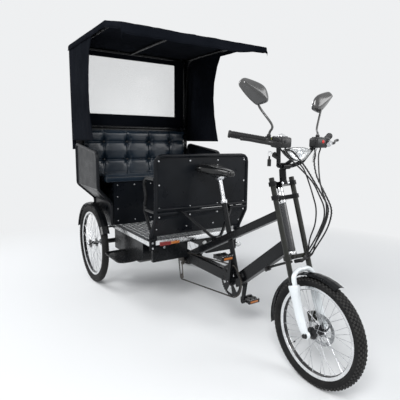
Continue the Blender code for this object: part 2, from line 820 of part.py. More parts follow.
for side_name, side in (("left", 1.0), ("right", -1.0)):
    inner = Vector((GRIP_IN.x, side * GRIP_IN.y, GRIP_IN.z))
    outer = Vector((GRIP_OUT.x, side * GRIP_OUT.y, GRIP_OUT.z))
    along = (outer - inner).normalized()
    start = inner + along * 0.061
    grip = rod("grip", GRIP_R, start, outer + along * 0.003, sides=16)
    grip = cut(grip, rod("bore", BAR_R + GAP, start - along * 0.01, outer + along * GAP, sides=16))
    piece(grip, "grip_" + side_name, "steering", RUBBER)
    base = inner + along * CONTROL_AT
    lever_fwd = Vector((0.92, 0.0, -0.30)).normalized()
    clamp = rod("clamp", BAR_R + 0.006, base - along * 0.018, base + along * 0.018, sides=16)
    perch = rod("perch", 0.013, base + lever_fwd * 0.006, base + lever_fwd * 0.042, sides=12)
    master_in = base - along * 0.058 + lever_fwd * 0.028
    master = rod("master", 0.0125, master_in, base + along * 0.014 + lever_fwd * 0.031, sides=12)
    lever_points = [
        base + lever_fwd * 0.034 - along * 0.004,
        base + lever_fwd * 0.048 + along * 0.030,
        base + lever_fwd * 0.044 + along * 0.090,
        base + lever_fwd * 0.052 + along * 0.130,
    ]
    lever = tube("lever", rounded(lever_points, 0.03, steps=2), 0.0050, resolution=1)
    switch_at = (SWITCH_AT.x, side * SWITCH_AT.y, SWITCH_AT.z)
    switch = box("switch", SWITCH_SIZE, switch_at, bevel=0.006)
    control = join(clamp, perch, master)
    control = join(control, lever)
    control = join(control, switch)
    bar_path = rounded(right_half + half_bar, 0.03, steps=3)
    control = cut(control, tube("cutter", bar_path, BAR_R + GAP, resolution=2))
    piece(control, "control_" + side_name, "steering", PLASTIC)

# Bell on top of the right switch box
bell_profile = [
    (0.0, 0.0180),
    (0.0110, 0.0160),
    (0.0185, 0.0090),
    (0.0205, 0.0030),
    (0.0080, 0.0030),
    (0.0080, 0.0),
    (0.0, 0.0),
]
bell_at = Vector((SWITCH_AT.x - 0.012, -SWITCH_AT.y + 0.004, SWITCH_AT.z + SWITCH_SIZE[2] / 2 + GAP))
bell = turned("bell", bell_profile, bell_at, (0.0, 0.0, 1.0), steps=16)
flip_outward(bell)
piece(bell, "bell", "steering", SILVER)

# Front lamp on a bracket under the bar: stations with their place and share of the full section
LAMP_Z = 1.135
LAMP_STATIONS = ((1.800, 0.60), (1.816, 0.86), (1.850, 1.00), (1.866, 1.00), (1.872, 0.93))
LAMP_HALF = ((0.000, 0.034), (0.055, 0.031), (0.088, 0.020), (0.085, 0.011), (0.050, -0.020), (0.018, -0.034))
lamp_section = list(LAMP_HALF) + [(0.0, -0.036)] + [(-y, z) for y, z in reversed(LAMP_HALF[1:])]


def lamp_point(station, point):
    x, share = station
    return (x, share * point[0], LAMP_Z + share * point[1])


lamp = lofted("lamp", LAMP_STATIONS, lamp_section, lamp_point)
lamp = join(lamp, rod("lamp_bracket", 0.0085, CLAMP, (LAMP_STATIONS[1][0] + 0.010, 0.0, LAMP_Z - 0.018), sides=12))
lamp = cut(lamp, rod("bore", BAR_R + 0.006 + GAP, CLAMP - LEFT * 0.04, CLAMP + LEFT * 0.04, sides=16))
piece(lamp, "front_lamp", "steering", SILVER)

# Mirrors: a slanted head with a domed back on a bent stalk
MIRROR_OUTLINE = (
    (0.072, 0.037),
    (0.055, 0.054),
    (0.027, 0.052),
    (-0.045, 0.029),
    (-0.070, -0.007),
    (-0.075, -0.037),
    (-0.064, -0.050),
    (-0.031, -0.060),
    (-0.012, -0.059),
    (0.031, -0.026),
    (0.070, 0.016),
)
MIRROR_STATIONS = ((-0.004, 0.97), (0.000, 1.00), (0.008, 1.00), (0.020, 0.86), (0.028, 0.55))
MIRROR_SHIFT = (-0.020, -0.012)
switch_top = SWITCH_AT.z + SWITCH_SIZE[2] / 2 + GAP
bar_foot = Vector((GRIP_IN.x, -GRIP_IN.y, GRIP_IN.z))
bar_along = Vector((GRIP_OUT.x - GRIP_IN.x, GRIP_IN.y - GRIP_OUT.y, GRIP_OUT.z - GRIP_IN.z)).normalized()
right_foot = bar_foot + bar_along * CONTROL_AT
left_foot = Vector((SWITCH_AT.x - 0.006, SWITCH_AT.y + 0.004, switch_top))
MIRRORS = (
    ("left", 1.0, 0.06, Vector((1.747, 0.270, 1.412)), (
        left_foot,
        left_foot + Vector((0.0, 0.0, 0.024)),
        Vector((1.806, 0.176, 1.268)),
        Vector((1.762, 0.252, 1.368)),
        Vector((1.757, 0.262, 1.398)),
    )),
    ("right", -1.0, 0.26, Vector((1.8155, -0.270, 1.4206)), (
        right_foot,
        right_foot + Vector((0.012, -0.002, 0.036)),
        Vector((1.874, -0.205, 1.270)),
        Vector((1.824, -0.238, 1.350)),
        Vector((1.822, -0.252, 1.396)),
    )),
)
for side_name, side, toe, head, stalk_points in MIRRORS:
    stalk = tube("stalk", rounded(list(stalk_points), 0.03, steps=2), 0.0054, resolution=1)
    glass = Vector((-0.97, side * -toe, 0.05)).normalized()
    across = Vector((0.0, 0.0, 1.0)).cross(glass).normalized() * -side
    tall = Vector((0.0, 0.0, 1.0))
    tall = (tall - glass * tall.dot(glass)).normalized()

    def shell_point(station, point):
        back, share = station
        shift = 1.0 - share
        u = point[0] * share + MIRROR_SHIFT[0] * shift
        v = point[1] * share + MIRROR_SHIFT[1] * shift
        return head - glass * back + across * u + tall * v

    shell = lofted("shell", MIRROR_STATIONS, MIRROR_OUTLINE, shell_point)
    mirror = join(stalk, shell)
    if side < 0.0:
        reach = bar_along * 0.03
        mirror = cut(mirror, rod("cutter", BAR_R + 0.006 + GAP, right_foot - reach, right_foot + reach, sides=16))
    piece(mirror, "mirror_" + side_name, "steering", PLASTIC)

# Brake caliper on the left fork leg
caliper_at = FRONT_HUB + Vector((-0.062, ROTOR_Y, 0.048))
caliper = box("caliper", (0.040, 0.026, 0.052), caliper_at, tilt=20.0, bevel=0.004)
slot = box("slot", (0.070, ROTOR_T + 0.003, 0.080), caliper_at + Vector((0.012, 0.0, -0.016)), tilt=20.0)
caliper = cut(caliper, slot)
piece(caliper, "brake_caliper", "steering", GUNMETAL)

# Main frame
head_profile = [
    (HEAD_BORE_R, HEAD_LENGTH),
    (0.0260, HEAD_LENGTH),
    (0.0260, HEAD_LENGTH - 0.016),
    (HEAD_TUBE_R, HEAD_LENGTH - 0.020),
    (HEAD_TUBE_R, 0.020),
    (0.0260, 0.016),
    (0.0260, 0.0),
    (HEAD_BORE_R, 0.0),
]
head = turned("head", head_profile, steer(0, 0, HEAD_BOTTOM), UP, steps=16, closed=True)
flip_outward(head)
piece(head, "head_tube", "root", BLACK_PAINT)


def head_cutter():
    long_hole = rod("cutter", HEAD_TUBE_R + GAP, steer(0, 0, HEAD_BOTTOM - 0.1), steer(0, 0, HEAD_TOP + 0.1), sides=16)
    ring_top = steer(0, 0, HEAD_BOTTOM + 0.020 + GAP)
    return join(long_hole, rod("cutter", 0.0260 + GAP, steer(0, 0, HEAD_BOTTOM - 0.08), ring_top, sides=16))


def beam(name, start, slope, length, width, height, bevel=0.006):
    """Rectangular tube running back and down from a point on the head tube."""
    a = math.radians(slope)
    direction = Vector((-math.cos(a), 0.0, -math.sin(a)))
    centre = Vector(start) + direction * length / 2
    return box(name, (length, width, height), centre, tilt=slope, bevel=bevel)


seat_foot = BB + SEAT_UP * (BB_R + GAP)
seat_head = BB + SEAT_UP * SEAT_TUBE_LEN
lower_rear = DIFF_R + 0.010
lower_len = BB_X - lower_rear
lower_beam = box("lower", (lower_len, LOWER_W, LOWER_H), (lower_rear + lower_len / 2, 0.0, BB_Z), bevel=0.006)
shell = rod("shell", BB_R, BB - LEFT * BB_HALF, BB + LEFT * BB_HALF, sides=16)
lower_beam = join(lower_beam, rod("nose", LOWER_H / 2 - 0.0008, BB - LEFT * (LOWER_W / 2 - 0.001), BB + LEFT * (LOWER_W / 2 - 0.001), sides=16), shell)
lower_beam = cut(lower_beam, rod("bore", BB_BORE_R, BB - LEFT * 0.06, BB + LEFT * 0.06, sides=16))
piece(lower_beam, "lower_beam", "root", BLACK_PAINT)


def lower_cutter():
    reach = lower_len + 0.2
    return box("cutter", (reach, 0.2, LOWER_H), (BB_X - reach / 2, 0.0, BB_Z + GAP))


def nose_cutter():
    return rod("cutter", LOWER_H / 2 + GAP, BB - LEFT * 0.2, BB + LEFT * 0.2, sides=16)


down_start = steer(0, 0, DOWN_T)
down_a = math.radians(DOWN_SLOPE)
down_len = (down_start.x - BB_X) / math.cos(down_a)
down = beam("down", down_start, DOWN_SLOPE, down_len, DOWN_W, DOWN_H)
down = cut(down, head_cutter(), nose_cutter(), lower_cutter())
upper_start = steer(0, 0, UPPER_T)
upper_a = math.radians(UPPER_SLOPE)
upper_len = (upper_start.z - LOWER_TOP + 0.01) / math.sin(upper_a)
upper = beam("upper", upper_start, UPPER_SLOPE, upper_len, UPPER_W, UPPER_H)
seat_hole = rod("hole", SEAT_TUBE_R + GAP, BB - SEAT_UP * 0.1, BB + SEAT_UP * 0.8, sides=16)
upper = cut(upper, head_cutter(), lower_cutter(), seat_hole)
down_grown = beam("cutter", down_start, DOWN_SLOPE, down_len, DOWN_W + 2 * GAP, DOWN_H + 2 * GAP, bevel=0.0)
upper = cut(upper, down_grown)
piece(down, "down_beam", "root", BLACK_PAINT)
piece(upper, "upper_beam", "root", BLACK_PAINT)

# Cables from the controls and the lamp, gathered in a sleeve under the lower crown
# Routes give points as place ahead of the steering axis, to the left, and up along it
CABLE_R = 0.0030
SLEEVE_R = 0.0095
LOOM_R = 0.0075
SPOT_R = 0.0054
box_under = SWITCH_AT.z - SWITCH_SIZE[2] / 2 - GAP
lamp_under = LAMP_Z - 0.0353 - GAP
GATHER = (
    ((SWITCH_AT.x + 0.010, -0.110, box_under), (
        (0.232, -0.092, 0.868),
        (0.225, -0.046, 0.828),
        (0.224, -0.012, 0.781),
        (0.227, 0.016, 0.722),
        (0.243, 0.035, 0.644),
        (0.254, 0.044, 0.586),
        (0.235, 0.044, 0.536),
        (0.192, 0.050, 0.488),
        (0.130, 0.052, 0.430),
        (0.070, 0.046, 0.374),
    )),
    ((SWITCH_AT.x - 0.008, -0.124, box_under), (
        (0.203, -0.104, 0.852),
        (0.213, -0.063, 0.808),
        (0.215, 0.017, 0.722),
        (0.226, 0.035, 0.647),
        (0.227, 0.048, 0.590),
        (0.204, 0.059, 0.539),
        (0.166, 0.058, 0.490),
        (0.111, 0.061, 0.437),
        (0.060, 0.042, 0.380),
    )),
    ((SWITCH_AT.x - 0.002, 0.106, box_under), (
        (0.200, 0.098, 0.856),
        (0.206, 0.072, 0.819),
        (0.216, 0.058, 0.743),
        (0.246, 0.056, 0.644),
        (0.250, 0.069, 0.579),
        (0.227, 0.076, 0.529),
        (0.183, 0.079, 0.476),
        (0.127, 0.071, 0.421),
        (0.074, 0.053, 0.368),
    )),
    ((SWITCH_AT.x + 0.006, 0.138, box_under), (
        (0.191, 0.130, 0.850),
        (0.191, 0.105, 0.747),
        (0.204, 0.087, 0.677),
        (0.208, 0.092, 0.610),
        (0.186, 0.098, 0.548),
        (0.145, 0.094, 0.489),
        (0.100, 0.080, 0.425),
        (0.080, 0.064, 0.374),
    )),
    ((LAMP_STATIONS[2][0] - 0.004, 0.010, lamp_under), (
        (0.170, 0.030, 0.792),
        (0.163, 0.053, 0.727),
        (0.171, 0.053, 0.658),
        (0.164, 0.063, 0.591),
        (0.134, 0.067, 0.519),
        (0.091, 0.059, 0.454),
        (0.066, 0.050, 0.392),
    )),
)
sleeve_in = Vector((0.044, 0.0205, LOWER_CROWN_T - 0.0115))
sleeve_out = Vector((0.010, 0.0, LOWER_CROWN_T - 0.0130))
sleeve_run = (sleeve_out - sleeve_in).normalized()
sleeve_side = Vector((0.0, 0.0, 1.0)).cross(sleeve_run).normalized()
sleeve_high = sleeve_run.cross(sleeve_side).normalized()
bundle = [rod("sleeve", SLEEVE_R, steer(*sleeve_in), steer(*sleeve_out), sides=12)]
for spot, (start, route) in enumerate(GATHER):
    turn_at = math.radians(72.0 * spot + 18.0)
    shift = (sleeve_side * math.cos(turn_at) + sleeve_high * math.sin(turn_at)) * SPOT_R
    points = [Vector(start), Vector(start) - Vector((0.0, 0.0, 0.006))]
    points.extend([steer(*p) for p in route])
    points.append(steer(*(sleeve_in - sleeve_run * 0.004 + shift)))
    points.append(steer(*(sleeve_in + sleeve_run * 0.012 + shift)))
    bundle.append(tube("cable", points, CABLE_R, resolution=0))
steering_cables = bundle[0]
for strand in bundle[1:]:
    steering_cables = join(steering_cables, strand)
piece(steering_cables, "steering_cables", "steering", RUBBER)

# Loom from the sleeve back to a clip under the down beam
down_run = Vector((-math.cos(down_a), 0.0, -math.sin(down_a)))
down_under = Vector((math.sin(down_a), 0.0, -math.cos(down_a))) * (DOWN_H / 2 + GAP)
clip_h = 0.018
clip_at = down_start + down_run * 0.230 + down_under * (1.0 + clip_h / 2 / down_under.length)
loom_line = [
    steer(-0.010, 0.0, sleeve_out.z),
    steer(-0.034, 0.0, sleeve_out.z),
    clip_at - down_run * 0.080 + down_under.normalized() * 0.010,
    clip_at - down_run * 0.030,
    clip_at + down_run * 0.024,
]
loom = tube("loom", rounded(loom_line, 0.04, steps=3), LOOM_R, resolution=1)
clip = box("clip", (0.016, 0.026, clip_h), clip_at, tilt=DOWN_SLOPE)
piece(join(loom, clip), "frame_cables", "root", RUBBER)

seat_profile = [
    (SEAT_POST_R + GAP, SEAT_TUBE_LEN),
    (SEAT_TUBE_R, SEAT_TUBE_LEN),
    (SEAT_TUBE_R, 0.0),
    (SEAT_POST_R + GAP, 0.0),
]
seat_tube = turned("seat_tube", seat_profile, BB, SEAT_UP, steps=16, closed=True)
flip_outward(seat_tube)
seat_tube = cut(seat_tube, nose_cutter(), lower_cutter())
down_grown = beam("cutter", down_start, DOWN_SLOPE, down_len, DOWN_W + 2 * GAP, DOWN_H + 2 * GAP, bevel=0.0)
seat_tube = cut(seat_tube, down_grown)
piece(seat_tube, "seat_tube", "root", BLACK_PAINT)

clamp_profile = [
    (SEAT_POST_R + GAP, 0.022),
    (0.0215, 0.022),
    (0.0225, 0.011),
    (0.0215, 0.0),
    (SEAT_POST_R + GAP, 0.0),
]
clamp = turned("clamp", clamp_profile, seat_head + SEAT_UP * GAP, SEAT_UP, steps=16, closed=True)
flip_outward(clamp)
piece(clamp, "seat_clamp", "root", SILVER)

POST_TOP = BB + SEAT_UP * POST_REACH
post = rod("post", SEAT_POST_R, BB + SEAT_UP * (SEAT_TUBE_LEN - POST_IN), POST_TOP, sides=16)
head_at = POST_TOP + UP * 0.004
rail_head = rod("rail_head", RAIL_HEAD_R, head_at + LEFT * 0.024, head_at - LEFT * 0.024, sides=16)
piece(join(post, rail_head), "seat_post", "root", BLACK_PAINT)

# Saddle: stations from the post's head with place ahead, half width, top above it, and depth
SADDLE = (
    (0.126, 0.012, 0.042, 0.018),
    (0.112, 0.022, 0.051, 0.032),
    (0.061, 0.031, 0.059, 0.046),
    (0.006, 0.045, 0.063, 0.049),
    (-0.044, 0.073, 0.070, 0.053),
    (-0.088, 0.096, 0.079, 0.055),
    (-0.124, 0.099, 0.080, 0.058),
    (-0.140, 0.082, 0.073, 0.042),
)
SADDLE_SECTION = (
    (-1.00, 0.52),
    (-0.93, 0.27),
    (-0.72, 0.08),
    (-0.34, 0.00),
    (0.00, 0.02),
    (0.34, 0.00),
    (0.72, 0.08),
    (0.93, 0.27),
    (1.00, 0.52),
    (0.82, 0.95),
    (0.00, 0.88),
    (-0.82, 0.95),
)


def saddle_point(station, point):
    ahead, half, top, depth = station
    return (POST_TOP.x + ahead, half * point[0], POST_TOP.z + top - depth * point[1])


saddle = lofted("saddle", SADDLE, SADDLE_SECTION, saddle_point)
rail_cut = rod("cutter", RAIL_HEAD_R + GAP, head_at + LEFT * 0.03, head_at - LEFT * 0.03, sides=16)
saddle = cut(saddle, rail_cut)
piece(saddle, "saddle", "root", LEATHER)

# Crank: ring with spider, spindle and both arms
ring_frame = frame_at(BB - LEFT * RING_Y, (1.0, 0.0, 0.0), (0.0, 0.0, 1.0))
windows = []
for k in range(5):
    a0 = 72.0 * k + 17.0 - CRANK_ANGLE + 90.0
    outer_edge = arc(RING_R - 0.014, a0, a0 + 38.0, 3)
    inner_edge = arc(0.034, a0 + 34.0, a0 + 4.0, 2)
    windows.append(outer_edge + inner_edge)
ring = plate("ring", [circle(0.0, 0.0, RING_R, 32)] + windows, RING_T, ring_frame)
spindle = rod("spindle", SPINDLE_R, BB - LEFT * (CRANK_Y + 0.004), BB + LEFT * (CRANK_Y + 0.004), sides=16)
arms = []
for side in (1.0, -1.0):
    tip = BB - CRANK_DIR * CRANK_L * side + LEFT * CRANK_Y * side
    root_at = BB + LEFT * CRANK_Y * side
    along = (tip - root_at).normalized()
    arm_frame = frame_at(root_at, along, LEFT.cross(along))
    hub_outline = [(0.004, -0.016), (CRANK_L - 0.010, -0.011), (CRANK_L - 0.010, 0.011), (0.004, 0.016)]
    blade = plate("blade", [hub_outline], CRANK_T, arm_frame)
    boss = CRANK_T / 2 + 0.0012
    root_end = rod("arm_root", 0.019, root_at - LEFT * boss, root_at + LEFT * boss, sides=16)
    tip_end = rod("arm_tip", 0.0145, tip - LEFT * boss, tip + LEFT * boss, sides=16)
    blade = join(blade, root_end, tip_end)
    arms.append(cut(blade, rod("bore", 0.0065, tip - LEFT * 0.03, tip + LEFT * 0.03, sides=16)))
bridge = rod("bridge", 0.0265, BB - LEFT * (RING_Y - 0.004), BB - LEFT * (CRANK_Y - 0.0045), sides=16)
crankset = join(spindle, *arms)
crankset = join(crankset, ring)
crankset = join(crankset, bridge)
piece(crankset, "crankset", "crank", BLACK_PAINT)

# Pedals: spindle boss with two cage rails and cross bars
for side_name, side in (("left", 1.0), ("right", -1.0)):
    hub_at = PIVOTS["pedal_" + side_name]
    inner = hub_at + LEFT * side * (CRANK_T / 2 + RUN)
    outer = inner + LEFT * side * (PEDAL_W + 0.006)
    pin = rod("pin", 0.0058, hub_at - LEFT * side * CRANK_T / 2, outer - LEFT * side * 0.004, sides=16)
    barrel = rod("barrel", 0.011, inner + LEFT * side * 0.003, outer, sides=16)
    parts = []
    middle = inner + LEFT * side * (0.006 + PEDAL_W / 2)
    for fore in (1.0, -1.0):
        at = middle + Vector((fore * (PEDAL_L / 2 - 0.006), 0.0, 0.0))
        parts.append(box("cage", (0.012, PEDAL_W - 0.004, PEDAL_T), at))
    for share in (-0.42, 0.0, 0.42):
        at = middle + LEFT * share * PEDAL_W
        parts.append(box("cross", (PEDAL_L - 0.012, 0.010, PEDAL_T * 0.7), at))
    piece(join(pin, barrel, *parts), "pedal_" + side_name, "pedal_" + side_name, PLASTIC)

# Chain around the ring, the cassette and the lower jockey wheel
CASSETTE = Vector((CASSETTE_X, -RING_Y, CASSETTE_Z))
JOCKEY = Vector((CASSETTE_X + 0.015, -RING_Y, CASSETTE_Z - JOCKEY_DROP))


def belt(circles, steps):
    """Outline round circles (x, z, r), joined by their outer tangents, given anticlockwise."""
    touches = []
    count = len(circles)
    for i in range(count):
        ax, az, ar = circles[i]
        bx, bz, br = circles[(i + 1) % count]
        dx = bx - ax
        dz = bz - az
        span = math.hypot(dx, dz)
        base = math.atan2(dz, dx)
        off = math.acos((ar - br) / span)
        touches.append(base - off)
    out = []
    for i in range(count):
        x, z, r = circles[i]
        start = touches[i - 1]
        end = touches[i]
        while end < start:
            end += 2 * math.pi
        pieces = max(2, int(steps * (end - start) / (2 * math.pi)))
        for k in range(pieces + 1):
            a = start + (end - start) * k / pieces
            out.append((x + r * math.cos(a), z + r * math.sin(a)))
    return out


def chain_outline(grow):
    around = [
        (BB_X, BB_Z, RING_R + RUN + grow),
        (CASSETTE.x, CASSETTE.z, CASSETTE_R + GAP + grow),
        (JOCKEY.x, JOCKEY.z, JOCKEY_R + GAP + grow),
    ]
    return belt(around, 28)


chain_frame = frame_at((0.0, -RING_Y, 0.0), (1.0, 0.0, 0.0), (0.0, 0.0, 1.0))
chain = plate("chain", [chain_outline(CHAIN_T), chain_outline(0.0)], CHAIN_W, chain_frame)
piece(chain, "chain", "root", SILVER)

jack_in = LOWER_W / 2 + GAP
cassette = rod("cassette", CASSETTE_R, CASSETTE - LEFT * 0.010, CASSETTE + LEFT * 0.006, sides=16)
jack = rod("jack", 0.012, CASSETTE - LEFT * 0.016, Vector((CASSETTE.x, -jack_in, CASSETTE.z)), sides=16)
drive = join(cassette, jack)
jockey = rod("jockey", JOCKEY_R, JOCKEY - LEFT * 0.003, JOCKEY + LEFT * 0.003, sides=16)
cage_y = -RING_Y + CHAIN_W / 2 + 0.004
cage_low = Vector((JOCKEY.x, cage_y, JOCKEY.z))
cage_high = Vector((JOCKEY.x - 0.012, cage_y, JOCKEY.z + 0.095))
cage_pin = rod("pin", 0.006, JOCKEY, cage_low + LEFT * 0.002, sides=16)
cage = rod("cage", 0.0045, cage_low, cage_high, sides=12)
knuckle = rod("knuckle", 0.012, cage_high - LEFT * 0.004, cage_high + LEFT * 0.014, sides=16)
derailleur = join(jockey, cage_pin, cage, knuckle)
hanger_top = Vector((cage_high.x, -LOWER_W / 2 + 0.010, BB_Z - LOWER_H / 2 - 0.001 - GAP))
hanger = rod("hanger", 0.007, cage_high + LEFT * 0.008, hanger_top, sides=16)
derailleur = cut(join(derailleur, hanger), box("cutter", (0.3, 0.2, LOWER_H), (hanger_top.x, 0.0, BB_Z - GAP)))
derailleur = join(derailleur, rod("arm", 0.008, cage_high + LEFT * 0.008, Vector((CASSETTE.x, cage_high.y + 0.008, CASSETTE.z)), sides=12))
piece(join(drive, derailleur), "drive_sprocket", "root", GUNMETAL)

# Rear axle: housing across, differential bulge and hangers to the rails
axle_at = Vector((0.0, 0.0, REAR_R))
bore_end = AXLE_HALF - 0.050
half_axle = [
    (AXLE_BORE_R, bore_end),
    (AXLE_BORE_R, AXLE_HALF),
    (AXLE_R + 0.004, AXLE_HALF),
    (AXLE_R + 0.004, AXLE_HALF - 0.016),
    (AXLE_R, AXLE_HALF - 0.018),
    (AXLE_R, DIFF_HALF + 0.030),
    (DIFF_R * 0.72, DIFF_HALF + 0.006),
    (DIFF_R, DIFF_HALF * 0.6),
]
axle_profile = [(0.0, bore_end)] + half_axle + [(r, -y) for r, y in reversed(half_axle)] + [(0.0, -bore_end)]
housing = turned("axle", axle_profile, axle_at, LEFT, steps=16)
flip_outward(housing)
hangers = []
for side in (1.0, -1.0):
    low = axle_at + LEFT * side * RAIL_Y + Vector((0.0, 0.0, -0.030))
    top_z = RAIL_LOW - GAP
    height = top_z - low.z
    plate_at = Vector((0.0, side * RAIL_Y, low.z + height / 2))
    hangers.append(box("hanger", (0.075, 0.010, height), plate_at))
rear_axle = join(housing, *hangers)
piece(rear_axle, "rear_axle", "root", BLACK_PAINT)

motor_low = Vector((DIFF_R + 0.060, 0.045, REAR_R + 0.012))
motor_at = motor_low + LEFT * MOTOR_L
motor = rod("motor", MOTOR_R, motor_low, motor_at, sides=16)
motor = cut(motor, rod("cutter", DIFF_R + GAP, axle_at - LEFT * 0.2, axle_at + LEFT * 0.2, sides=16))
motor = cut(motor, box("cutter", (0.6, LOWER_W + 2 * GAP, 0.3), (0.2, 0.0, REAR_R)))
motor = join(motor, box("mount", (0.050, 0.030, 0.060), (DIFF_R + 0.060, 0.040, REAR_R + 0.012)))
motor = cut(motor, box("cutter", (0.6, LOWER_W + 2 * GAP, 0.3), (0.2, 0.0, REAR_R)))
piece(motor, "drive_motor", "root", GUNMETAL)

# Chassis: rails, cross members and posts down to the lower beam
members = []
rail_len = FLOOR_FRONT - FLOOR_REAR - 0.020
rail_mid = (FLOOR_FRONT + FLOOR_REAR) / 2
rail_z = RAIL_TOP - RAIL_H / 2
for side in (1.0, -1.0):
    members.append(box("rail", (rail_len, RAIL_W, RAIL_H), (rail_mid, side * RAIL_Y, rail_z)))
first_cross = 0.010
last_cross = FLOOR_FRONT - 0.030
cross_pitch = (last_cross - first_cross) / 3
for cross_x in (last_cross, last_cross - cross_pitch, first_cross + cross_pitch, first_cross, FLOOR_REAR + 0.030):
    members.append(box("cross", (0.030, 2 * RAIL_Y, RAIL_H * 0.96), (cross_x, 0.0, rail_z)))
post_low = LOWER_TOP + GAP
for post_x in (last_cross - cross_pitch, 0.180):
    post_h = RAIL_TOP - 0.004 - post_low
    members.append(box("post", (0.040, 0.040, post_h), (post_x, 0.0, post_low + post_h / 2)))
members.append(box("spine", (0.300, 0.030, RAIL_H * 0.9), (0.170, 0.0, rail_z)))
deep_half = (RAIL_Y - DEEP_IN) / 2
deep_h = RAIL_TOP - 0.003 - DEEP_LOW
for side in (1.0, -1.0):
    deep_at = (last_cross, side * (DEEP_IN + deep_half), DEEP_LOW + deep_h / 2)
    members.append(box("deep", (0.026, 2 * deep_half, deep_h), deep_at))
chassis = join(members[0], *members[1:])
upper_cut = beam("cutter", upper_start, UPPER_SLOPE, upper_len, UPPER_W + 2 * GAP, UPPER_H + 2 * GAP, bevel=0.0)
chassis = cut(chassis, upper_cut)
piece(chassis, "chassis", "root", BLACK_PAINT)

# Floor plate with its turned-down edge
floor_mid = (FLOOR_FRONT + FLOOR_REAR) / 2
floor_len = FLOOR_FRONT - FLOOR_REAR
floor = box("floor", (floor_len, 2 * FLOOR_HALF, PLATE_T), (floor_mid, 0.0, FLOOR_TOP - PLATE_T / 2))
skirt_z = FLOOR_TOP - TRIM_H / 2
trims = [
    box("trim", (PLATE_T, 2 * FLOOR_HALF, TRIM_H), (FLOOR_FRONT - PLATE_T / 2, 0.0, skirt_z)),
    box("trim", (PLATE_T, 2 * FLOOR_HALF, TRIM_H), (FLOOR_REAR + PLATE_T / 2, 0.0, skirt_z)),
]
for side in (1.0, -1.0):
    trims.append(box("trim", (floor_len, PLATE_T, TRIM_H), (floor_mid, side * (FLOOR_HALF - PLATE_T / 2), skirt_z)))
floor = join(floor, *trims)
upper_cut = beam("cutter", upper_start, UPPER_SLOPE, upper_len, UPPER_W + 2 * GAP, UPPER_H + 2 * GAP, bevel=0.0)
floor = cut(floor, upper_cut)
piece(floor, "floor_plate", "root", TREAD_PLATE)

# Pods under the floor with a boarding step, hung on the rails
pod_front = FLOOR_FRONT - POD_SHORT
pod_top = RAIL_LOW - GAP
pod_out = RAIL_Y + 0.010
pod_points = [
    Vector((POD_REAR, pod_top, 0.0)),
    Vector((POD_REAR, POD_LOW, 0.0)),
    Vector((pod_front, POD_LOW, 0.0)),
    Vector((pod_front, pod_top, 0.0)),
]
pod_outline = [(POD_REAR, pod_top), (POD_REAR, POD_LOW)]
corner_points = rounded(pod_points[1:], POD_CORNER * 2.0, steps=5)
pod_outline.extend([(p.x, p.y) for p in corner_points[1:-1]])
pod_outline.append((pod_front, pod_top))
pod_frame = frame_at((0.0, pod_out - POD_W / 2, 0.0), (1.0, 0.0, 0.0), (0.0, 0.0, 1.0))
pod = plate("pod", [pod_outline], POD_W, pod_frame)
step_rear = REAR_R + WHEEL_CLEAR
step_front = step_rear + (pod_front - step_rear) * 0.74
step_out = pod_out + STEP_REACH
step_points = [
    Vector((step_rear, pod_out - 0.020, 0.0)),
    Vector((step_front, pod_out - 0.020, 0.0)),
    Vector((step_front, step_out, 0.0)),
    Vector((step_rear, step_out, 0.0)),
]
step_line = rounded(step_points, 0.060, steps=4, closed=True)
step_frame = frame_at((0.0, 0.0, POD_LOW - STEP_T / 2 + 0.002), (1.0, 0.0, 0.0), (0.0, 1.0, 0.0))
step_plate = plate("step", [[(p.x, p.y) for p in step_line]], STEP_T, step_frame)
rim_line = [p + Vector((0.0, 0.0, POD_LOW + 0.004)) for p in rounded([
    Vector((step_rear + 0.004, pod_out - 0.010, 0.0)),
    Vector((step_rear + 0.004, step_out - 0.003, 0.0)),
    Vector((step_front - 0.004, step_out - 0.003, 0.0)),
    Vector((step_front - 0.004, pod_out - 0.010, 0.0)),
], 0.045, steps=3)]
step_rim = tube("rim", rim_line, 0.0060, resolution=1)
side_pod = join(pod, step_plate)
side_pod = join(side_pod, step_rim)
right_pod = mirrored(side_pod, "side_pod_r")
piece(side_pod, "side_step_left", "root", BLACK_PAINT)
piece(right_pod, "side_step_right", "root", BLACK_PAINT)

# Partition: tube hoop with its double rail, legs bent back to the floor
floor_seat = FLOOR_TOP + GAP
TUBE_IN = PART_HALF - TUBE_R
hoop_points = [
    (FLOOR_FRONT - 0.014, -TUBE_IN, floor_seat),
    (FLOOR_FRONT - 0.014, -TUBE_IN, floor_seat + 0.030),
    (PART_X, -TUBE_IN, PART_KNEE),
    (PART_X, -TUBE_IN, PART_TOP - TUBE_R),
    (PART_X, TUBE_IN, PART_TOP - TUBE_R),
    (PART_X, TUBE_IN, PART_KNEE),
    (FLOOR_FRONT - 0.014, TUBE_IN, floor_seat + 0.030),
    (FLOOR_FRONT - 0.014, TUBE_IN, floor_seat),
]
hoop = tube("hoop", rounded(hoop_points, 0.050, steps=3), TUBE_R, resolution=2)
bars = []
for rail_at in (PART_RAIL_Z - 0.0135, PART_RAIL_Z + 0.0135):
    bars.append(rod("bar", TUBE_R, (PART_X, -TUBE_IN, rail_at), (PART_X, TUBE_IN, rail_at), sides=16))
gussets = []
for side in (1.0, -1.0):
    foot = Vector((FLOOR_FRONT - 0.014, side * TUBE_IN, floor_seat))
    gussets.append(box("foot", (0.046, 0.044, 0.006), foot + Vector((-0.004, -side * 0.004, 0.003))))
    gussets.append(box("gusset", (0.008, 0.050, 0.052), foot + Vector((0.0, -side * 0.020, 0.026))))
partition_frame = join(hoop, *bars)
partition_frame = join(partition_frame, *gussets)
partition_frame = cut(partition_frame, box("cutter", (0.4, 1.2, 0.1), (FLOOR_FRONT, 0.0, floor_seat - 0.05)))

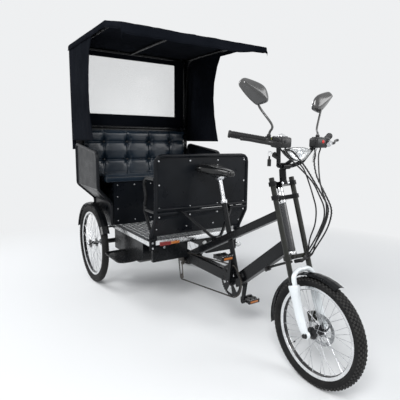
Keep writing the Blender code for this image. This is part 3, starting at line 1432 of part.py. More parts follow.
sheet_in = TUBE_IN - 0.0075
upper_sheet_low = PART_RAIL_Z + 0.0135
upper_sheet_high = PART_TOP - TUBE_R - 0.004
corner = 0.036
outline = []
corners = (
    (-sheet_in, upper_sheet_low, 0.0),
    (sheet_in, upper_sheet_low, 0.0),
    (sheet_in, upper_sheet_high, corner),
    (-sheet_in, upper_sheet_high, corner),
)
points = [Vector((y, z, 0.0)) for y, z, r in corners]
for index, (y, z, r) in enumerate(corners):
    if r == 0.0:
        outline.append((y, z))
        continue
    ring_points = rounded([points[index - 1], points[index], points[(index + 1) % 4]], r * 2.0, steps=5)
    outline.extend([(p.x, p.y) for p in ring_points[1:-1]])
sheet_frame = frame_at((PART_X, 0.0, 0.0), (0.0, 1.0, 0.0), (0.0, 0.0, 1.0))
upper_sheet = plate("upper_sheet", [outline], SHEET_T, sheet_frame)

lower_high = PART_RAIL_Z - 0.0135
lean_x = PART_X - (FLOOR_FRONT - 0.014)
lean_z = PART_KNEE - (floor_seat + 0.030)


def lean_at(z):
    """Forward place of the leaning legs at a height."""
    return PART_X - max(0.0, PART_KNEE - z) * lean_x / lean_z


apron_rows = ((lower_high, -1.0), (0.690, -1.0), (0.600, -1.0), (0.565, -1.0))
bm = bmesh.new()
rows = []
for z, unused in apron_rows:
    x = lean_at(z)
    rows.append([bm.verts.new((x, -sheet_in, z)), bm.verts.new((x, sheet_in, z))])
for a, b in zip(rows, rows[1:]):
    bm.faces.new((a[0], a[1], b[1], b[0]))
apron = from_bmesh("apron", bm)
shell = apron.modifiers.new("Solidify", "SOLIDIFY")
shell.thickness = SHEET_T
shell.offset = 0.0
apron = baked(apron)
flip_outward(apron)
piece(join(partition_frame, upper_sheet, apron), "partition", "root", BLACK_PAINT)

# Grab hoops behind the partition
for side_name, side in (("left", 1.0), ("right", -1.0)):
    y = side * (TUBE_IN + 0.006)
    hoop_back = [
        (PART_X, y, 0.953),
        (PART_X - 0.124, y, 0.953),
        (PART_X - 0.160, y, 0.920),
        (PART_X - 0.131, y, 0.820),
        (PART_X - 0.165, y, PART_RAIL_Z),
        (PART_X, y, PART_RAIL_Z),
    ]
    grab = tube("grab", rounded(hoop_back, 0.045, steps=3), TUBE_R * 0.92, resolution=2)
    strut_end = lean_at(0.600)
    strut = rod("strut", TUBE_R * 0.8, (PART_X - 0.159, y, PART_RAIL_Z), (strut_end, y, 0.600), sides=12)
    grab = join(grab, strut)
    grab = cut(grab, tube("cutter", rounded(hoop_points, 0.050, steps=3), TUBE_R + GAP, resolution=2))
    for rail_at in (PART_RAIL_Z - 0.0135, PART_RAIL_Z + 0.0135):
        reach = TUBE_IN + GAP
        grab = cut(grab, rod("cutter", TUBE_R + GAP, (PART_X, -reach, rail_at), (PART_X, reach, rail_at), sides=16))
    piece(grab, "grab_hoop_" + side_name, "root", BLACK_PAINT)

# Stays from the partition rail to the upper beam
stay_x = PART_X + 0.156
stay_z = upper_start.z - (upper_start.x - stay_x) * math.tan(upper_a)
stay_top = stay_z + UPPER_H / 2 / math.cos(upper_a)
stays_points = [
    (PART_X + TUBE_R, -0.200, PART_RAIL_Z),
    (PART_X + 0.060, -0.185, PART_RAIL_Z - 0.010),
    (stay_x, -0.030, stay_top + 0.012),
    (stay_x, 0.030, stay_top + 0.012),
    (PART_X + 0.060, 0.185, PART_RAIL_Z - 0.010),
    (PART_X + TUBE_R, 0.200, PART_RAIL_Z),
]
stays = tube("stays", rounded(stays_points, 0.060, steps=3), 0.010, resolution=2)
stay_pad = box("pad", (0.060, 0.044, 0.012), (stay_x, 0.0, stay_top + 0.006), tilt=UPPER_SLOPE)
stays = join(stays, stay_pad)
upper_cut = beam("cutter", upper_start, UPPER_SLOPE, upper_len, UPPER_W + 2 * GAP, UPPER_H + 2 * GAP, bevel=0.0)
stays = cut(stays, upper_cut)
bar_cuts = []
for rail_at in (PART_RAIL_Z - 0.0135, PART_RAIL_Z + 0.0135):
    bar_cuts.append(rod("cutter", TUBE_R + GAP, (PART_X, -TUBE_IN, rail_at), (PART_X, TUBE_IN, rail_at), sides=16))
stays = cut(stays, *bar_cuts)
piece(stays, "partition_stays", "root", BLACK_PAINT)

# Seat box: hollow sheet box on the floor
BOARD_X = BACK_X - 0.002
box_rear = BOARD_X + GAP + 0.004
box_len = BOX_FRONT - box_rear
box_height = BOX_TOP - floor_seat
seat_box = box("seat_box", (box_len, 2 * BOX_HALF - 0.026, box_height), (box_rear + box_len / 2, 0.0, floor_seat + box_height / 2))
hollow_size = (box_len - 2 * SHEET_T, 2 * BOX_HALF - 0.026 - 2 * SHEET_T, box_height)
hollow = box("hollow", hollow_size, (box_rear + box_len / 2, 0.0, floor_seat + box_height / 2 - SHEET_T))
seat_box = cut(seat_box, hollow)
piece(seat_box, "seat_box", "root", SATIN_SHEET)

cushion_low = BOX_TOP + GAP
cushion_front = BOX_FRONT + 0.014
cushion_rear = BACK_X + BACK_T + GAP
cushion_len = cushion_front - cushion_rear
cushion_at = (cushion_rear + cushion_len / 2, 0.0, cushion_low + CUSHION_T / 2)
cushion = box("cushion", (cushion_len, 2 * CUSHION_HALF, CUSHION_T), cushion_at, bevel=0.014)
piece(cushion, "seat_cushion", "root", LEATHER)

back_low = BOX_TOP + GAP
back_h = BACK_TOP - back_low
backrest = box("backrest", (BACK_T, 2 * BACK_HALF, back_h), (BACK_X + BACK_T / 2, 0.0, back_low + back_h / 2), bevel=0.016)
piece(backrest, "backrest", "root", LEATHER)

# Rear board behind the backrest, wider above the fenders
board_outline = [
    (-BOX_HALF, floor_seat),
    (BOX_HALF, floor_seat),
    (BOX_HALF, FLARE_LOW),
    (SIDE_HALF - 0.016, FLARE_HIGH),
    (SIDE_HALF - 0.016, BOARD_TOP),
    (-SIDE_HALF + 0.016, BOARD_TOP),
    (-SIDE_HALF + 0.016, FLARE_HIGH),
    (-BOX_HALF, FLARE_LOW),
]
board_frame = frame_at((BACK_X - GAP - BOARD_T / 2, 0.0, 0.0), (0.0, 1.0, 0.0), (0.0, 0.0, 1.0))
board = plate("board", [board_outline], BOARD_T, board_frame)

top_rail_z = BOARD_TOP + TUBE_R * 0.6
rail_half = SIDE_HALF - 0.016 - 0.016 - 2 * POLE_R
top_rail = rod("rail", TUBE_R, (BACK_X - 0.004, -rail_half, top_rail_z), (BACK_X - 0.004, rail_half, top_rail_z), sides=16)
piece(join(board, top_rail), "rear_board", "root", BLACK_PAINT)

# Side frames and panels, flared out above the fenders
box_y = BOX_HALF - 0.013 + GAP
low_y = box_y + TUBE_R
side_rear = BACK_X + 0.016
for side_name, side in (("left", 1.0), ("right", -1.0)):
    def at(x, y, z):
        return (x, side * y, z)
    frame_points = [
        at(BOX_FRONT - TUBE_R, low_y, floor_seat),
        at(BOX_FRONT - TUBE_R, low_y, FLARE_LOW),
        at(SIDE_FRONT, SIDE_HALF - TUBE_R, FLARE_HIGH),
        at(SIDE_FRONT, SIDE_HALF - TUBE_R, SIDE_TOP_FRONT),
        at(side_rear, SIDE_HALF - TUBE_R, SIDE_TOP_REAR),
        at(side_rear, SIDE_HALF - TUBE_R, FLARE_HIGH),
        at(side_rear, low_y, FLARE_LOW),
        at(side_rear, low_y, floor_seat),
    ]
    side_frame = tube("side_frame", rounded(frame_points, 0.045, steps=3), TUBE_R, resolution=2)
    panel_y = SIDE_HALF - TUBE_R
    rows = (
        (low_y, 0.560, BOX_FRONT - TUBE_R),
        (low_y, FLARE_LOW, BOX_FRONT - TUBE_R),
        (panel_y, FLARE_HIGH, SIDE_FRONT),
        (panel_y, SIDE_TOP_FRONT - 0.004, SIDE_FRONT),
    )
    bm = bmesh.new()
    made_rows = []
    for y, z, front in rows:
        rear_z = z
        if z > FLARE_HIGH:
            rear_z = SIDE_TOP_REAR - 0.004
        made_rows.append([bm.verts.new(at(side_rear, y, rear_z)), bm.verts.new(at(front, y, z))])
    for a, b in zip(made_rows, made_rows[1:]):
        bm.faces.new((a[0], a[1], b[1], b[0]))
    panel = from_bmesh("panel", bm)
    shell = panel.modifiers.new("Solidify", "SOLIDIFY")
    shell.thickness = SHEET_T
    shell.offset = 0.0
    panel = baked(panel)
    flip_outward(panel)
    piece(join(side_frame, panel), "side_guard_" + side_name, "root", BLACK_PAINT)

# Canopy frame
pole_x = BACK_X - GAP - BOARD_T - GAP - POLE_R
pole_y = SIDE_HALF - 0.016 - POLE_R - 0.012


def inset(points, depth):
    """Polyline (x, z) running forward, moved down by a depth square to its segments."""
    lines = []
    for a, b in zip(points, points[1:]):
        run = Vector((b[0] - a[0], b[1] - a[1])).normalized()
        down_by = Vector((run.y, -run.x)) * depth
        lines.append((Vector(a) + down_by, run))
    out = [lines[0][0]]
    for (pa, ra), (pb, rb) in zip(lines, lines[1:]):
        s = (pb - pa).cross(rb) / ra.cross(rb)
        out.append(pa + ra * s)
    last = lines[-1]
    out.append(last[0] + last[1] * (Vector(points[-1]) - Vector(points[-2])).length)
    return out


ROOF_LINE = ((ROOF_REAR, ROOF_Z), (ROOF_RIDGE, ROOF_RIDGE_Z), (VISOR_X, VISOR_Z))
pole_line = inset(ROOF_LINE, FABRIC_T + 4 * GAP + POLE_R)
roof_under = pole_line[0].y
visor_run = (pole_line[2] - pole_line[1]).normalized()
visor_end = pole_line[2] - visor_run * 0.022
rails = []
for side in (1.0, -1.0):
    pole_points = [
        (pole_x, side * pole_y, 1.000),
        (pole_x, side * pole_y, roof_under),
        (pole_line[1].x, side * pole_y, pole_line[1].y),
        (visor_end.x, side * pole_y, visor_end.y),
    ]
    rails.append(tube("rail", rounded(pole_points, 0.025, steps=4), POLE_R, resolution=2))
bow_y = pole_y - 0.003
for side in (1.0, -1.0):
    bow_points = [
        (pole_x + 0.290, side * bow_y, roof_under - 0.0045),
        (pole_x + 0.080, side * bow_y, roof_under - 0.0045),
        (pole_x + 0.028, side * bow_y, BOARD_TOP + 0.062),
        (pole_x - 0.001, side * bow_y, BOARD_TOP + 0.012),
    ]
    rails.append(tube("bow", rounded(bow_points, 0.110, steps=4), POLE_R * 0.85, resolution=1))
bar_rear = (pole_x + 0.030, roof_under - 0.0015)
bar_front = visor_end - visor_run * 0.012
for bar_x, bar_z in (bar_rear, (pole_line[1].x, pole_line[1].y - 0.001), (bar_front.x, bar_front.y)):
    rails.append(rod("bar", POLE_R, (bar_x, -pole_y, bar_z), (bar_x, pole_y, bar_z), sides=12))
strut_low = Vector((bar_rear[0], STRUT_Y, bar_rear[1] - 0.001))
strut_high = Vector((pole_line[1].x, STRUT_Y, pole_line[1].y - 0.002))
rails.append(rod("strut", POLE_R * 0.8, strut_low, strut_high, sides=8))
canopy_frame = join(rails[0], *rails[1:])
piece(canopy_frame, "canopy_frame", "root", BLACK_PAINT)

# Canopy roof: shell with turned-down edges
roof_rows = (
    (ROOF_REAR, ROOF_Z),
    (ROOF_RIDGE, ROOF_RIDGE_Z),
    (VISOR_X, VISOR_Z),
)
bm = bmesh.new()
rows = []
for x, z in roof_rows:
    drop = SKIRT_H
    row = []
    for y, down_by in ((-ROOF_HALF, drop), (-ROOF_HALF, 0.0), (ROOF_HALF, 0.0), (ROOF_HALF, drop)):
        row.append(bm.verts.new((x, y, z - down_by)))
    rows.append(row)
for a, b in zip(rows, rows[1:]):
    for k in range(3):
        bm.faces.new((a[k], a[k + 1], b[k + 1], b[k]))
front = rows[-1]
lip = [bm.verts.new((VISOR_X, y, VISOR_Z - 0.030)) for y in (-ROOF_HALF, ROOF_HALF)]
bmesh.ops.recalc_face_normals(bm, faces=bm.faces)
roof = from_bmesh("roof", bm)
bm = bmesh.new()
bm.from_mesh(roof.data)
for vert in [v for v in bm.verts if not v.link_faces]:
    bm.verts.remove(vert)
bm.to_mesh(roof.data)
bm.free()
shell = roof.modifiers.new("Solidify", "SOLIDIFY")
shell.thickness = FABRIC_T
shell.offset = -1.0
shell.use_even_offset = True
roof = baked(roof)
flip_outward(roof)
lip_box = box("lip", (FABRIC_T, 2 * ROOF_HALF - 0.002, 0.030), (VISOR_X - FABRIC_T / 2, 0.0, VISOR_Z - 0.017))
roof = join(roof, lip_box)
piece(roof, "canopy_roof", "root", FABRIC)

# Canopy sides: wings from the roof to the hem, front edge scooped back
wing_y = ROOF_HALF - FABRIC_T - GAP - FABRIC_T / 2
WING_EDGE = (
    (1.925, 0.400),
    (1.830, 0.350),
    (1.700, 0.312),
    (1.560, 0.302),
    (1.430, 0.312),
    (1.300, 0.340),
    (HEM_Z, 0.378),
)
roof_slope = (ROOF_RIDGE_Z - ROOF_Z) / (ROOF_RIDGE - ROOF_REAR)


def under_roof(x):
    return ROOF_Z + (x - ROOF_REAR) * roof_slope - FABRIC_T - GAP - 0.0006


wing_rear = ROOF_REAR + FABRIC_T + GAP + 0.004
wing_outline = [(wing_rear, HEM_Z), (wing_rear, under_roof(wing_rear))]
wing_outline.append((0.420, under_roof(0.420)))
wing_outline.extend([(x, z) for z, x in WING_EDGE])
for side_name, side in (("left", 1.0), ("right", -1.0)):
    wing_frame = frame_at((0.0, side * wing_y, 0.0), (1.0, 0.0, 0.0), (0.0, 0.0, 1.0))
    wing = plate("wing", [wing_outline], FABRIC_T, wing_frame)
    piece(wing, "canopy_side_" + side_name, "root", FABRIC)

# Canopy rear curtain with its window opening, and the window
rear_x = ROOF_REAR + FABRIC_T / 2
rear_half = ROOF_HALF - FABRIC_T - GAP
rear_outline = [
    (-rear_half, REAR_HEM_Z),
    (rear_half, REAR_HEM_Z),
    (rear_half, under_roof(ROOF_REAR)),
    (-rear_half, under_roof(ROOF_REAR)),
]


def round_rect(half_y, low, high, radius, steps):
    corners = [(half_y, low), (half_y, high), (-half_y, high), (-half_y, low)]
    pts = rounded([Vector((y, z, 0.0)) for y, z in corners], radius, steps=steps, closed=True)
    return [(p.x, p.y) for p in pts]


rear_frame = frame_at((rear_x, 0.0, 0.0), (0.0, 1.0, 0.0), (0.0, 0.0, 1.0))
curtain = plate("curtain", [rear_outline, round_rect(WINDOW_HALF, WINDOW_LOW, WINDOW_HIGH, 0.04, 4)], FABRIC_T, rear_frame)
piece(curtain, "canopy_rear", "root", FABRIC)
pane_outline = round_rect(WINDOW_HALF - GAP, WINDOW_LOW + GAP, WINDOW_HIGH - GAP, 0.04, 4)
pane = plate("pane", [pane_outline], 0.0015, rear_frame)
piece(pane, "rear_window", "root", CLEAR)

# Reflectors and lamps under the front edge of the floor
plate_x = FLOOR_FRONT + GAP
reflector = box("reflector", (0.010, 0.081, 0.026), (plate_x + 0.005, -0.268, 0.512), bevel=0.002)
piece(reflector, "front_reflector", "root", AMBER)
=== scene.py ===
import math

import bmesh
import bpy
from mathutils import Matrix, Vector, noise


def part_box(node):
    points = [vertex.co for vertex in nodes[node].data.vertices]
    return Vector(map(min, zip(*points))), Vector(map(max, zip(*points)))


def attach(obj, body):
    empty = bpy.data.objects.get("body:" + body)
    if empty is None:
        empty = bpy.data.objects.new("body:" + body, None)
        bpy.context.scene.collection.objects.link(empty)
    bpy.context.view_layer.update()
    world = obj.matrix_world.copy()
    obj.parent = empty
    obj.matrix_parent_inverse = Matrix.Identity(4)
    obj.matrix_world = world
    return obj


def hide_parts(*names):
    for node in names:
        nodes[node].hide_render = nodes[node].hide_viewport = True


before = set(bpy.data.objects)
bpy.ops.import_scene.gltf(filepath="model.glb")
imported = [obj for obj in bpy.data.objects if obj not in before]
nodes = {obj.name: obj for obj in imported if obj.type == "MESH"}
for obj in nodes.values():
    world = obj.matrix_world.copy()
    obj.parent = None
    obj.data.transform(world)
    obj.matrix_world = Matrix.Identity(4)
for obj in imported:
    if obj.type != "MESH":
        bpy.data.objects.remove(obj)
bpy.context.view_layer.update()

bpy.context.scene.view_settings.view_transform = "Standard"

# Camera at the photograph's viewing angle
CAMERA_AT = Vector((2.2489, -1.4652, 1.1930))
CAMERA_YAW = 2.56744
CAMERA_PITCH = 0.14885
CAMERA_ROLL = 0.00886
CAMERA_LENS = 35.257


def aim_camera():
    look = Vector((
        math.cos(CAMERA_YAW) * math.cos(CAMERA_PITCH),
        math.sin(CAMERA_YAW) * math.cos(CAMERA_PITCH),
        -math.sin(CAMERA_PITCH),
    ))
    right = look.cross(Vector((0.0, 0.0, 1.0))).normalized()
    up = right.cross(look)
    turned_right = right * math.cos(CAMERA_ROLL) + up * math.sin(CAMERA_ROLL)
    turned_up = up * math.cos(CAMERA_ROLL) - right * math.sin(CAMERA_ROLL)
    data = bpy.data.cameras.new("photo_camera")
    data.lens = CAMERA_LENS
    data.sensor_width = 36.0
    data.clip_start = 0.05
    camera = bpy.data.objects.new("photo_camera", data)
    bpy.context.scene.collection.objects.link(camera)
    turn = Matrix((turned_right, turned_up, -look)).transposed().to_4x4()
    camera.matrix_world = Matrix.Translation(CAMERA_AT) @ turn
    bpy.context.scene.camera = camera


aim_camera()


# Light, floor and backdrop
def lamp(name, place, target, size, power):
    data = bpy.data.lights.new(name, "AREA")
    data.shape = "RECTANGLE"
    data.size = size[0]
    data.size_y = size[1]
    data.energy = power
    made = bpy.data.objects.new(name, data)
    bpy.context.scene.collection.objects.link(made)
    made.location = place
    made.rotation_euler = (Vector(target) - Vector(place)).to_track_quat("-Z", "Y").to_euler()


lamp("key_light", (3.4, -3.4, 4.6), (0.0, 0.0, 0.7), (2.2, 2.2), 250.0)
lamp("fill_light", (3.6, 3.0, 2.6), (0.2, 0.0, 0.8), (2.6, 2.6), 80.0)
lamp("back_light", (-3.2, -2.2, 3.6), (-0.3, 0.0, 1.2), (2.4, 2.4), 110.0)


BACKDROP = (0.86, 0.87, 0.88)


# Material tools
class NodeWork:
    """A node tree being put together node by node."""

    def node(self, kind, **settings):
        made = self.tree.nodes.new(kind)
        for key, value in settings.items():
            setattr(made, key, value)
        return made

    def link(self, source, target):
        self.tree.links.new(source, target)

    def feed(self, values, sockets):
        """Sets or links each value that is given."""
        for value, socket in zip(values, sockets):
            if isinstance(value, (int, float)):
                socket.default_value = value
            elif value is not None:
                self.link(value, socket)

    def math(self, operation, a, b=None):
        made = self.node("ShaderNodeMath", operation=operation)
        self.feed((a, b), made.inputs)
        return made.outputs[0]


class World(NodeWork):
    """Plain soft light, with the backdrop's colour for what the camera, gloss and glass see."""

    def __init__(self):
        world = bpy.data.worlds.new("studio")
        bpy.context.scene.world = world
        world.use_nodes = True
        self.tree = world.node_tree
        self.tree.nodes.clear()
        out = self.node("ShaderNodeOutputWorld")
        mix = self.node("ShaderNodeMixShader")
        path = self.node("ShaderNodeLightPath").outputs
        seen = self.math("MAXIMUM", path["Is Camera Ray"], path["Is Transmission Ray"])
        seen = self.math("MAXIMUM", seen, path["Is Glossy Ray"])
        self.link(seen, mix.inputs["Fac"])
        self.link(self.light((0.90, 0.93, 0.96), 0.45), mix.inputs[1])
        self.link(self.light(BACKDROP, 1.0), mix.inputs[2])
        self.link(mix.outputs[0], out.inputs["Surface"])

    def light(self, colour, strength):
        made = self.node("ShaderNodeBackground")
        made.inputs["Color"].default_value = (*colour, 1.0)
        made.inputs["Strength"].default_value = strength
        return made.outputs[0]


World()


class Finish(NodeWork):
    """A Principled material."""

    def __init__(self, name, colour, roughness, metallic=0.0, specular=0.5, coat=0.0):
        self.material = bpy.data.materials.new(name)
        self.material.use_nodes = True
        self.tree = self.material.node_tree
        self.shader = self.tree.nodes["Principled BSDF"]
        self.shader.inputs["Base Color"].default_value = (*colour, 1.0)
        self.shader.inputs["Roughness"].default_value = roughness
        self.shader.inputs["Metallic"].default_value = metallic
        self.shader.inputs["Specular IOR Level"].default_value = specular
        if coat > 0.0:
            self.shader.inputs["Coat Weight"].default_value = coat
            self.shader.inputs["Coat Roughness"].default_value = 0.12
        self.place = self.tree.nodes.new("ShaderNodeTexCoord").outputs["Object"]

    def noise(self, scale, detail=4.0):
        made = self.node("ShaderNodeTexNoise")
        made.inputs["Scale"].default_value = scale
        made.inputs["Detail"].default_value = detail
        made.inputs["Roughness"].default_value = 0.55
        self.link(self.place, made.inputs["Vector"])
        return made.outputs["Fac"]

    def turned(self, scale, angle):
        """Object coordinates at an even scale, turned about Z."""
        made = self.node("ShaderNodeMapping")
        made.inputs["Scale"].default_value = (scale, scale, scale)
        made.inputs["Rotation"].default_value = (0.0, 0.0, angle)
        self.link(self.place, made.inputs["Vector"])
        return made.outputs["Vector"]

    def range(self, value, low, high, to_low=0.0, to_high=1.0):
        made = self.node("ShaderNodeMapRange")
        made.inputs["From Min"].default_value = low
        made.inputs["From Max"].default_value = high
        made.inputs["To Min"].default_value = to_low
        made.inputs["To Max"].default_value = to_high
        self.link(value, made.inputs["Value"])
        return made.outputs["Result"]

    def mix(self, factor, a, b):
        made = self.node("ShaderNodeMix", data_type="RGBA")
        self.link(factor, made.inputs["Factor"])
        for value, socket in ((a, made.inputs[6]), (b, made.inputs[7])):
            if isinstance(value, tuple):
                socket.default_value = (*value, 1.0)
            else:
                self.link(value, socket)
        return made.outputs[2]

    def bump(self, height, distance, strength=1.0):
        made = self.node("ShaderNodeBump")
        made.inputs["Strength"].default_value = strength
        made.inputs["Distance"].default_value = distance
        self.link(height, made.inputs["Height"])
        if self.shader.inputs["Normal"].is_linked:
            before = self.shader.inputs["Normal"].links[0].from_socket
            self.link(before, made.inputs["Normal"])
        self.link(made.outputs["Normal"], self.shader.inputs["Normal"])

    def mottled(self, scale, detail, low, high, one, other):
        """Two colours in soft patches."""
        return self.mix(self.range(self.noise(scale, detail), low, high), one, other)

    def colour(self, socket):
        self.link(socket, self.shader.inputs["Base Color"])

    def rough(self, scale, detail, glossy, dull):
        """Roughness that changes in soft patches."""
        patches = self.range(self.noise(scale, detail), 0.3, 0.7, glossy, dull)
        self.link(patches, self.shader.inputs["Roughness"])


def painted(name, dark, light, roughness, coat=0.5, specular=0.5):
    """Gloss powder coat: a faint orange peel, and dust that lightens it in patches."""
    made = Finish(name, dark, roughness, coat=coat, specular=specular)
    made.colour(made.mottled(5.0, 5.0, 0.35, 0.72, dark, light))
    made.rough(14.0, 3.0, roughness - 0.06, roughness + 0.10)
    made.bump(made.noise(420.0, 2.0), 0.0002, 0.35)
    return made.material


def bright(name, colour, roughness):
    """Plated or brushed steel with fine handling marks."""
    made = Finish(name, colour, roughness, metallic=1.0)
    darker = tuple(c * 0.72 for c in colour)
    made.colour(made.mottled(24.0, 4.0, 0.3, 0.75, colour, darker))
    made.rough(60.0, 3.0, roughness - 0.07, roughness + 0.12)
    made.bump(made.noise(300.0, 2.0), 0.0001, 0.3)
    return made.material


POWDER = painted(
    "black_powder_coat", (0.0030, 0.0034, 0.0042), (0.0070, 0.0078, 0.0090), 0.22, coat=0.06, specular=0.17,
)
SHEET = painted(
    "satin_sheet_metal", (0.0028, 0.0036, 0.0052), (0.0062, 0.0076, 0.0100), 0.30, coat=0.04, specular=0.14,
)
STEEL = bright("bright_steel", (0.66, 0.67, 0.69), 0.26)
FORK_DARK = painted(
    "gunmetal_tube", (0.0085, 0.0092, 0.0075), (0.0190, 0.0200, 0.0165), 0.20, coat=0.10, specular=0.30,
)
WHITE = painted("white_cast_paint", (0.76, 0.80, 0.82), (0.66, 0.70, 0.72), 0.28)
CHAIN_STEEL = bright("oiled_chain_steel", (0.13, 0.12, 0.11), 0.38)


def tyre_rubber():
    made = Finish("tyre_rubber", (0.008, 0.008, 0.0085), 0.72, specular=0.22)
    dust = made.range(made.noise(18.0, 5.0), 0.45, 0.8)
    made.colour(made.mix(dust, (0.0055, 0.0055, 0.006), (0.017, 0.0165, 0.0155)))
    made.bump(made.noise(260.0, 3.0), 0.0005, 0.4)
    return made.material


def leatherette():
    made = Finish("leatherette", (0.008, 0.014, 0.022), 0.25, coat=0.18, specular=0.36)
    made.colour(made.mottled(7.0, 4.0, 0.3, 0.75, (0.0062, 0.0125, 0.0215), (0.0125, 0.0225, 0.0350)))
    cells = made.node("ShaderNodeTexVoronoi", feature="DISTANCE_TO_EDGE")
    cells.inputs["Scale"].default_value = 520.0
    made.link(made.place, cells.inputs["Vector"])
    made.bump(made.range(cells.outputs["Distance"], 0.0, 0.35), 0.0004, 0.5)
    return made.material


def canopy_cloth():
    made = Finish("canopy_cloth", (0.0050, 0.0060, 0.0085), 0.80, specular=0.0)
    made.shader.inputs["Sheen Weight"].default_value = 0.010
    made.shader.inputs["Sheen Roughness"].default_value = 0.40
    made.colour(made.mottled(3.2, 4.0, 0.3, 0.75, (0.0042, 0.0052, 0.0075), (0.0095, 0.0110, 0.0150)))
    weave = made.node("ShaderNodeTexWave", wave_type="BANDS", bands_direction="Z")
    weave.inputs["Scale"].default_value = 180.0
    made.link(made.place, weave.inputs["Vector"])
    cross = made.node("ShaderNodeTexWave", wave_type="BANDS", bands_direction="X")
    cross.inputs["Scale"].default_value = 180.0
    made.link(made.place, cross.inputs["Vector"])
    made.bump(made.math("MULTIPLY", weave.outputs["Fac"], cross.outputs["Fac"]), 0.0004, 0.35)
    made.bump(made.noise(9.0, 4.0), 0.014, 0.6)
    return made.material


def window_film():
    made = Finish("window_film", (0.93, 0.95, 0.95), 0.10)
    made.shader.inputs["Transmission Weight"].default_value = 0.0
    made.shader.inputs["Alpha"].default_value = 0.18
    made.rough(6.0, 4.0, 0.08, 0.30)
    made.bump(made.noise(5.0, 3.0), 0.004, 0.4)
    return made.material


def tread_plate():
    """Aluminium floor with the small raised bars of chequer plate, alternating in direction."""
    made = Finish("tread_plate", (0.20, 0.21, 0.22), 0.34, metallic=0.9)
    heights = []
    for turn, shift in ((math.radians(45.0), 0.0), (math.radians(-45.0), 0.5)):
        turned = made.turned(58.0, turn)
        split = made.node("ShaderNodeSeparateXYZ")
        made.link(turned, split.inputs[0])
        x = made.math("SUBTRACT", made.math("FRACT", made.math("ADD", split.outputs[0], shift)), 0.5)
        y = made.math("SUBTRACT", made.math("FRACT", made.math("ADD", split.outputs[1], shift)), 0.5)
        long = made.range(made.math("ABSOLUTE", x), 0.34, 0.42, 1.0, 0.0)
        narrow = made.range(made.math("ABSOLUTE", y), 0.09, 0.16, 1.0, 0.0)
        bar = made.math("MULTIPLY", long, narrow)
        cell = made.math("ADD", made.math("FLOOR", split.outputs[0]), made.math("FLOOR", split.outputs[1]))
        odd = made.math("FRACT", made.math("MULTIPLY", cell, 0.5))
        heights.append(made.math("MULTIPLY", bar, made.range(odd, 0.2, 0.3, 1.0, 0.0)))
    raised = made.math("MAXIMUM", heights[0], heights[1])
    made.bump(raised, 0.002, 0.9)
    worn = made.mottled(9.0, 4.0, 0.35, 0.75, (0.17, 0.18, 0.19), (0.10, 0.105, 0.11))
    made.colour(made.mix(raised, worn, (0.34, 0.35, 0.36)))
    made.rough(30.0, 3.0, 0.28, 0.46)
    return made.material


def moulded(name, colour, roughness):
    made = Finish(name, colour, roughness, specular=0.35)
    lighter = tuple(min(1.0, c * 1.6 + 0.004) for c in colour)
    made.colour(made.mottled(12.0, 4.0, 0.35, 0.75, colour, lighter))
    made.bump(made.noise(700.0, 2.0), 0.0002, 0.4)
    return made.material


def lens(name, colour):
    made = Finish(name, colour, 0.12, coat=0.6)
    ribs = made.node("ShaderNodeTexWave", wave_type="BANDS", bands_direction="Y")
    ribs.inputs["Scale"].default_value = 60.0
    made.link(made.place, ribs.inputs["Vector"])
    made.bump(ribs.outputs["Fac"], 0.0008, 0.6)
    darker = tuple(c * 0.6 for c in colour)
    made.colour(made.mix(ribs.outputs["Fac"], colour, darker))
    return made.material


MACHINED = bright("machined_rim", (0.82, 0.83, 0.84), 0.24)
SPOKE = bright("spoke_steel", (0.62, 0.63, 0.65), 0.30)
DISC = bright("brake_disc_steel", (0.34, 0.35, 0.36), 0.30)
SEAT_VINYL = painted(
    "saddle_vinyl", (0.0035, 0.0038, 0.0042), (0.0080, 0.0084, 0.0090), 0.20, coat=0.30, specular=0.35,
)
LUG_FACE = moulded("tyre_block_face", (0.016, 0.0155, 0.0150), 0.62)
# Hub black, also put on the backrest buttons as painted shade that darkens the pit round each button.
HUB_BLACK_AND_PIT_SHADE = painted(
    "hub_black_and_pit_shade", (0.0045, 0.0045, 0.0055), (0.011, 0.0115, 0.013), 0.26, coat=0.2, specular=0.3,
)
TYRE = tyre_rubber()
LEATHER = leatherette()
CLOTH = canopy_cloth()
FILM = window_film()
TREAD = tread_plate()
PLASTIC = moulded("moulded_plastic", (0.0065, 0.0065, 0.007), 0.30)
GRIP = moulded("grip_rubber", (0.0060, 0.0060, 0.0065), 0.52)
CABLE = moulded("cable_jacket", (0.0055, 0.0055, 0.006), 0.34)
RED_LENS = lens("red_reflector", (0.22, 0.012, 0.010))
AMBER_LENS = lens("amber_lens", (0.50, 0.15, 0.02))
CHROME = bright("chrome_plate", (0.86, 0.87, 0.88), 0.10)
MIRROR_GLASS = bright("mirror_glass", (0.78, 0.82, 0.86), 0.05)
GLOSS_SHELL = painted(
    "mirror_shell", (0.018, 0.018, 0.018), (0.036, 0.036, 0.035), 0.24, coat=0.8, specular=0.6,
)
YELLOW = moulded("yellow_plastic", (0.42, 0.50, 0.05), 0.35)
RED_PLASTIC = moulded("red_plastic", (0.40, 0.020, 0.016), 0.35)
PALE_PLASTIC = moulded("pale_plastic", (0.62, 0.63, 0.62), 0.40)
SLEEVE_GLOSS = painted(
    "gloss_sleeve", (0.006, 0.007, 0.009), (0.014, 0.015, 0.018), 0.16, coat=0.7, specular=0.6,
)
WHITE_LENS = lens("white_lens", (0.72, 0.74, 0.74))

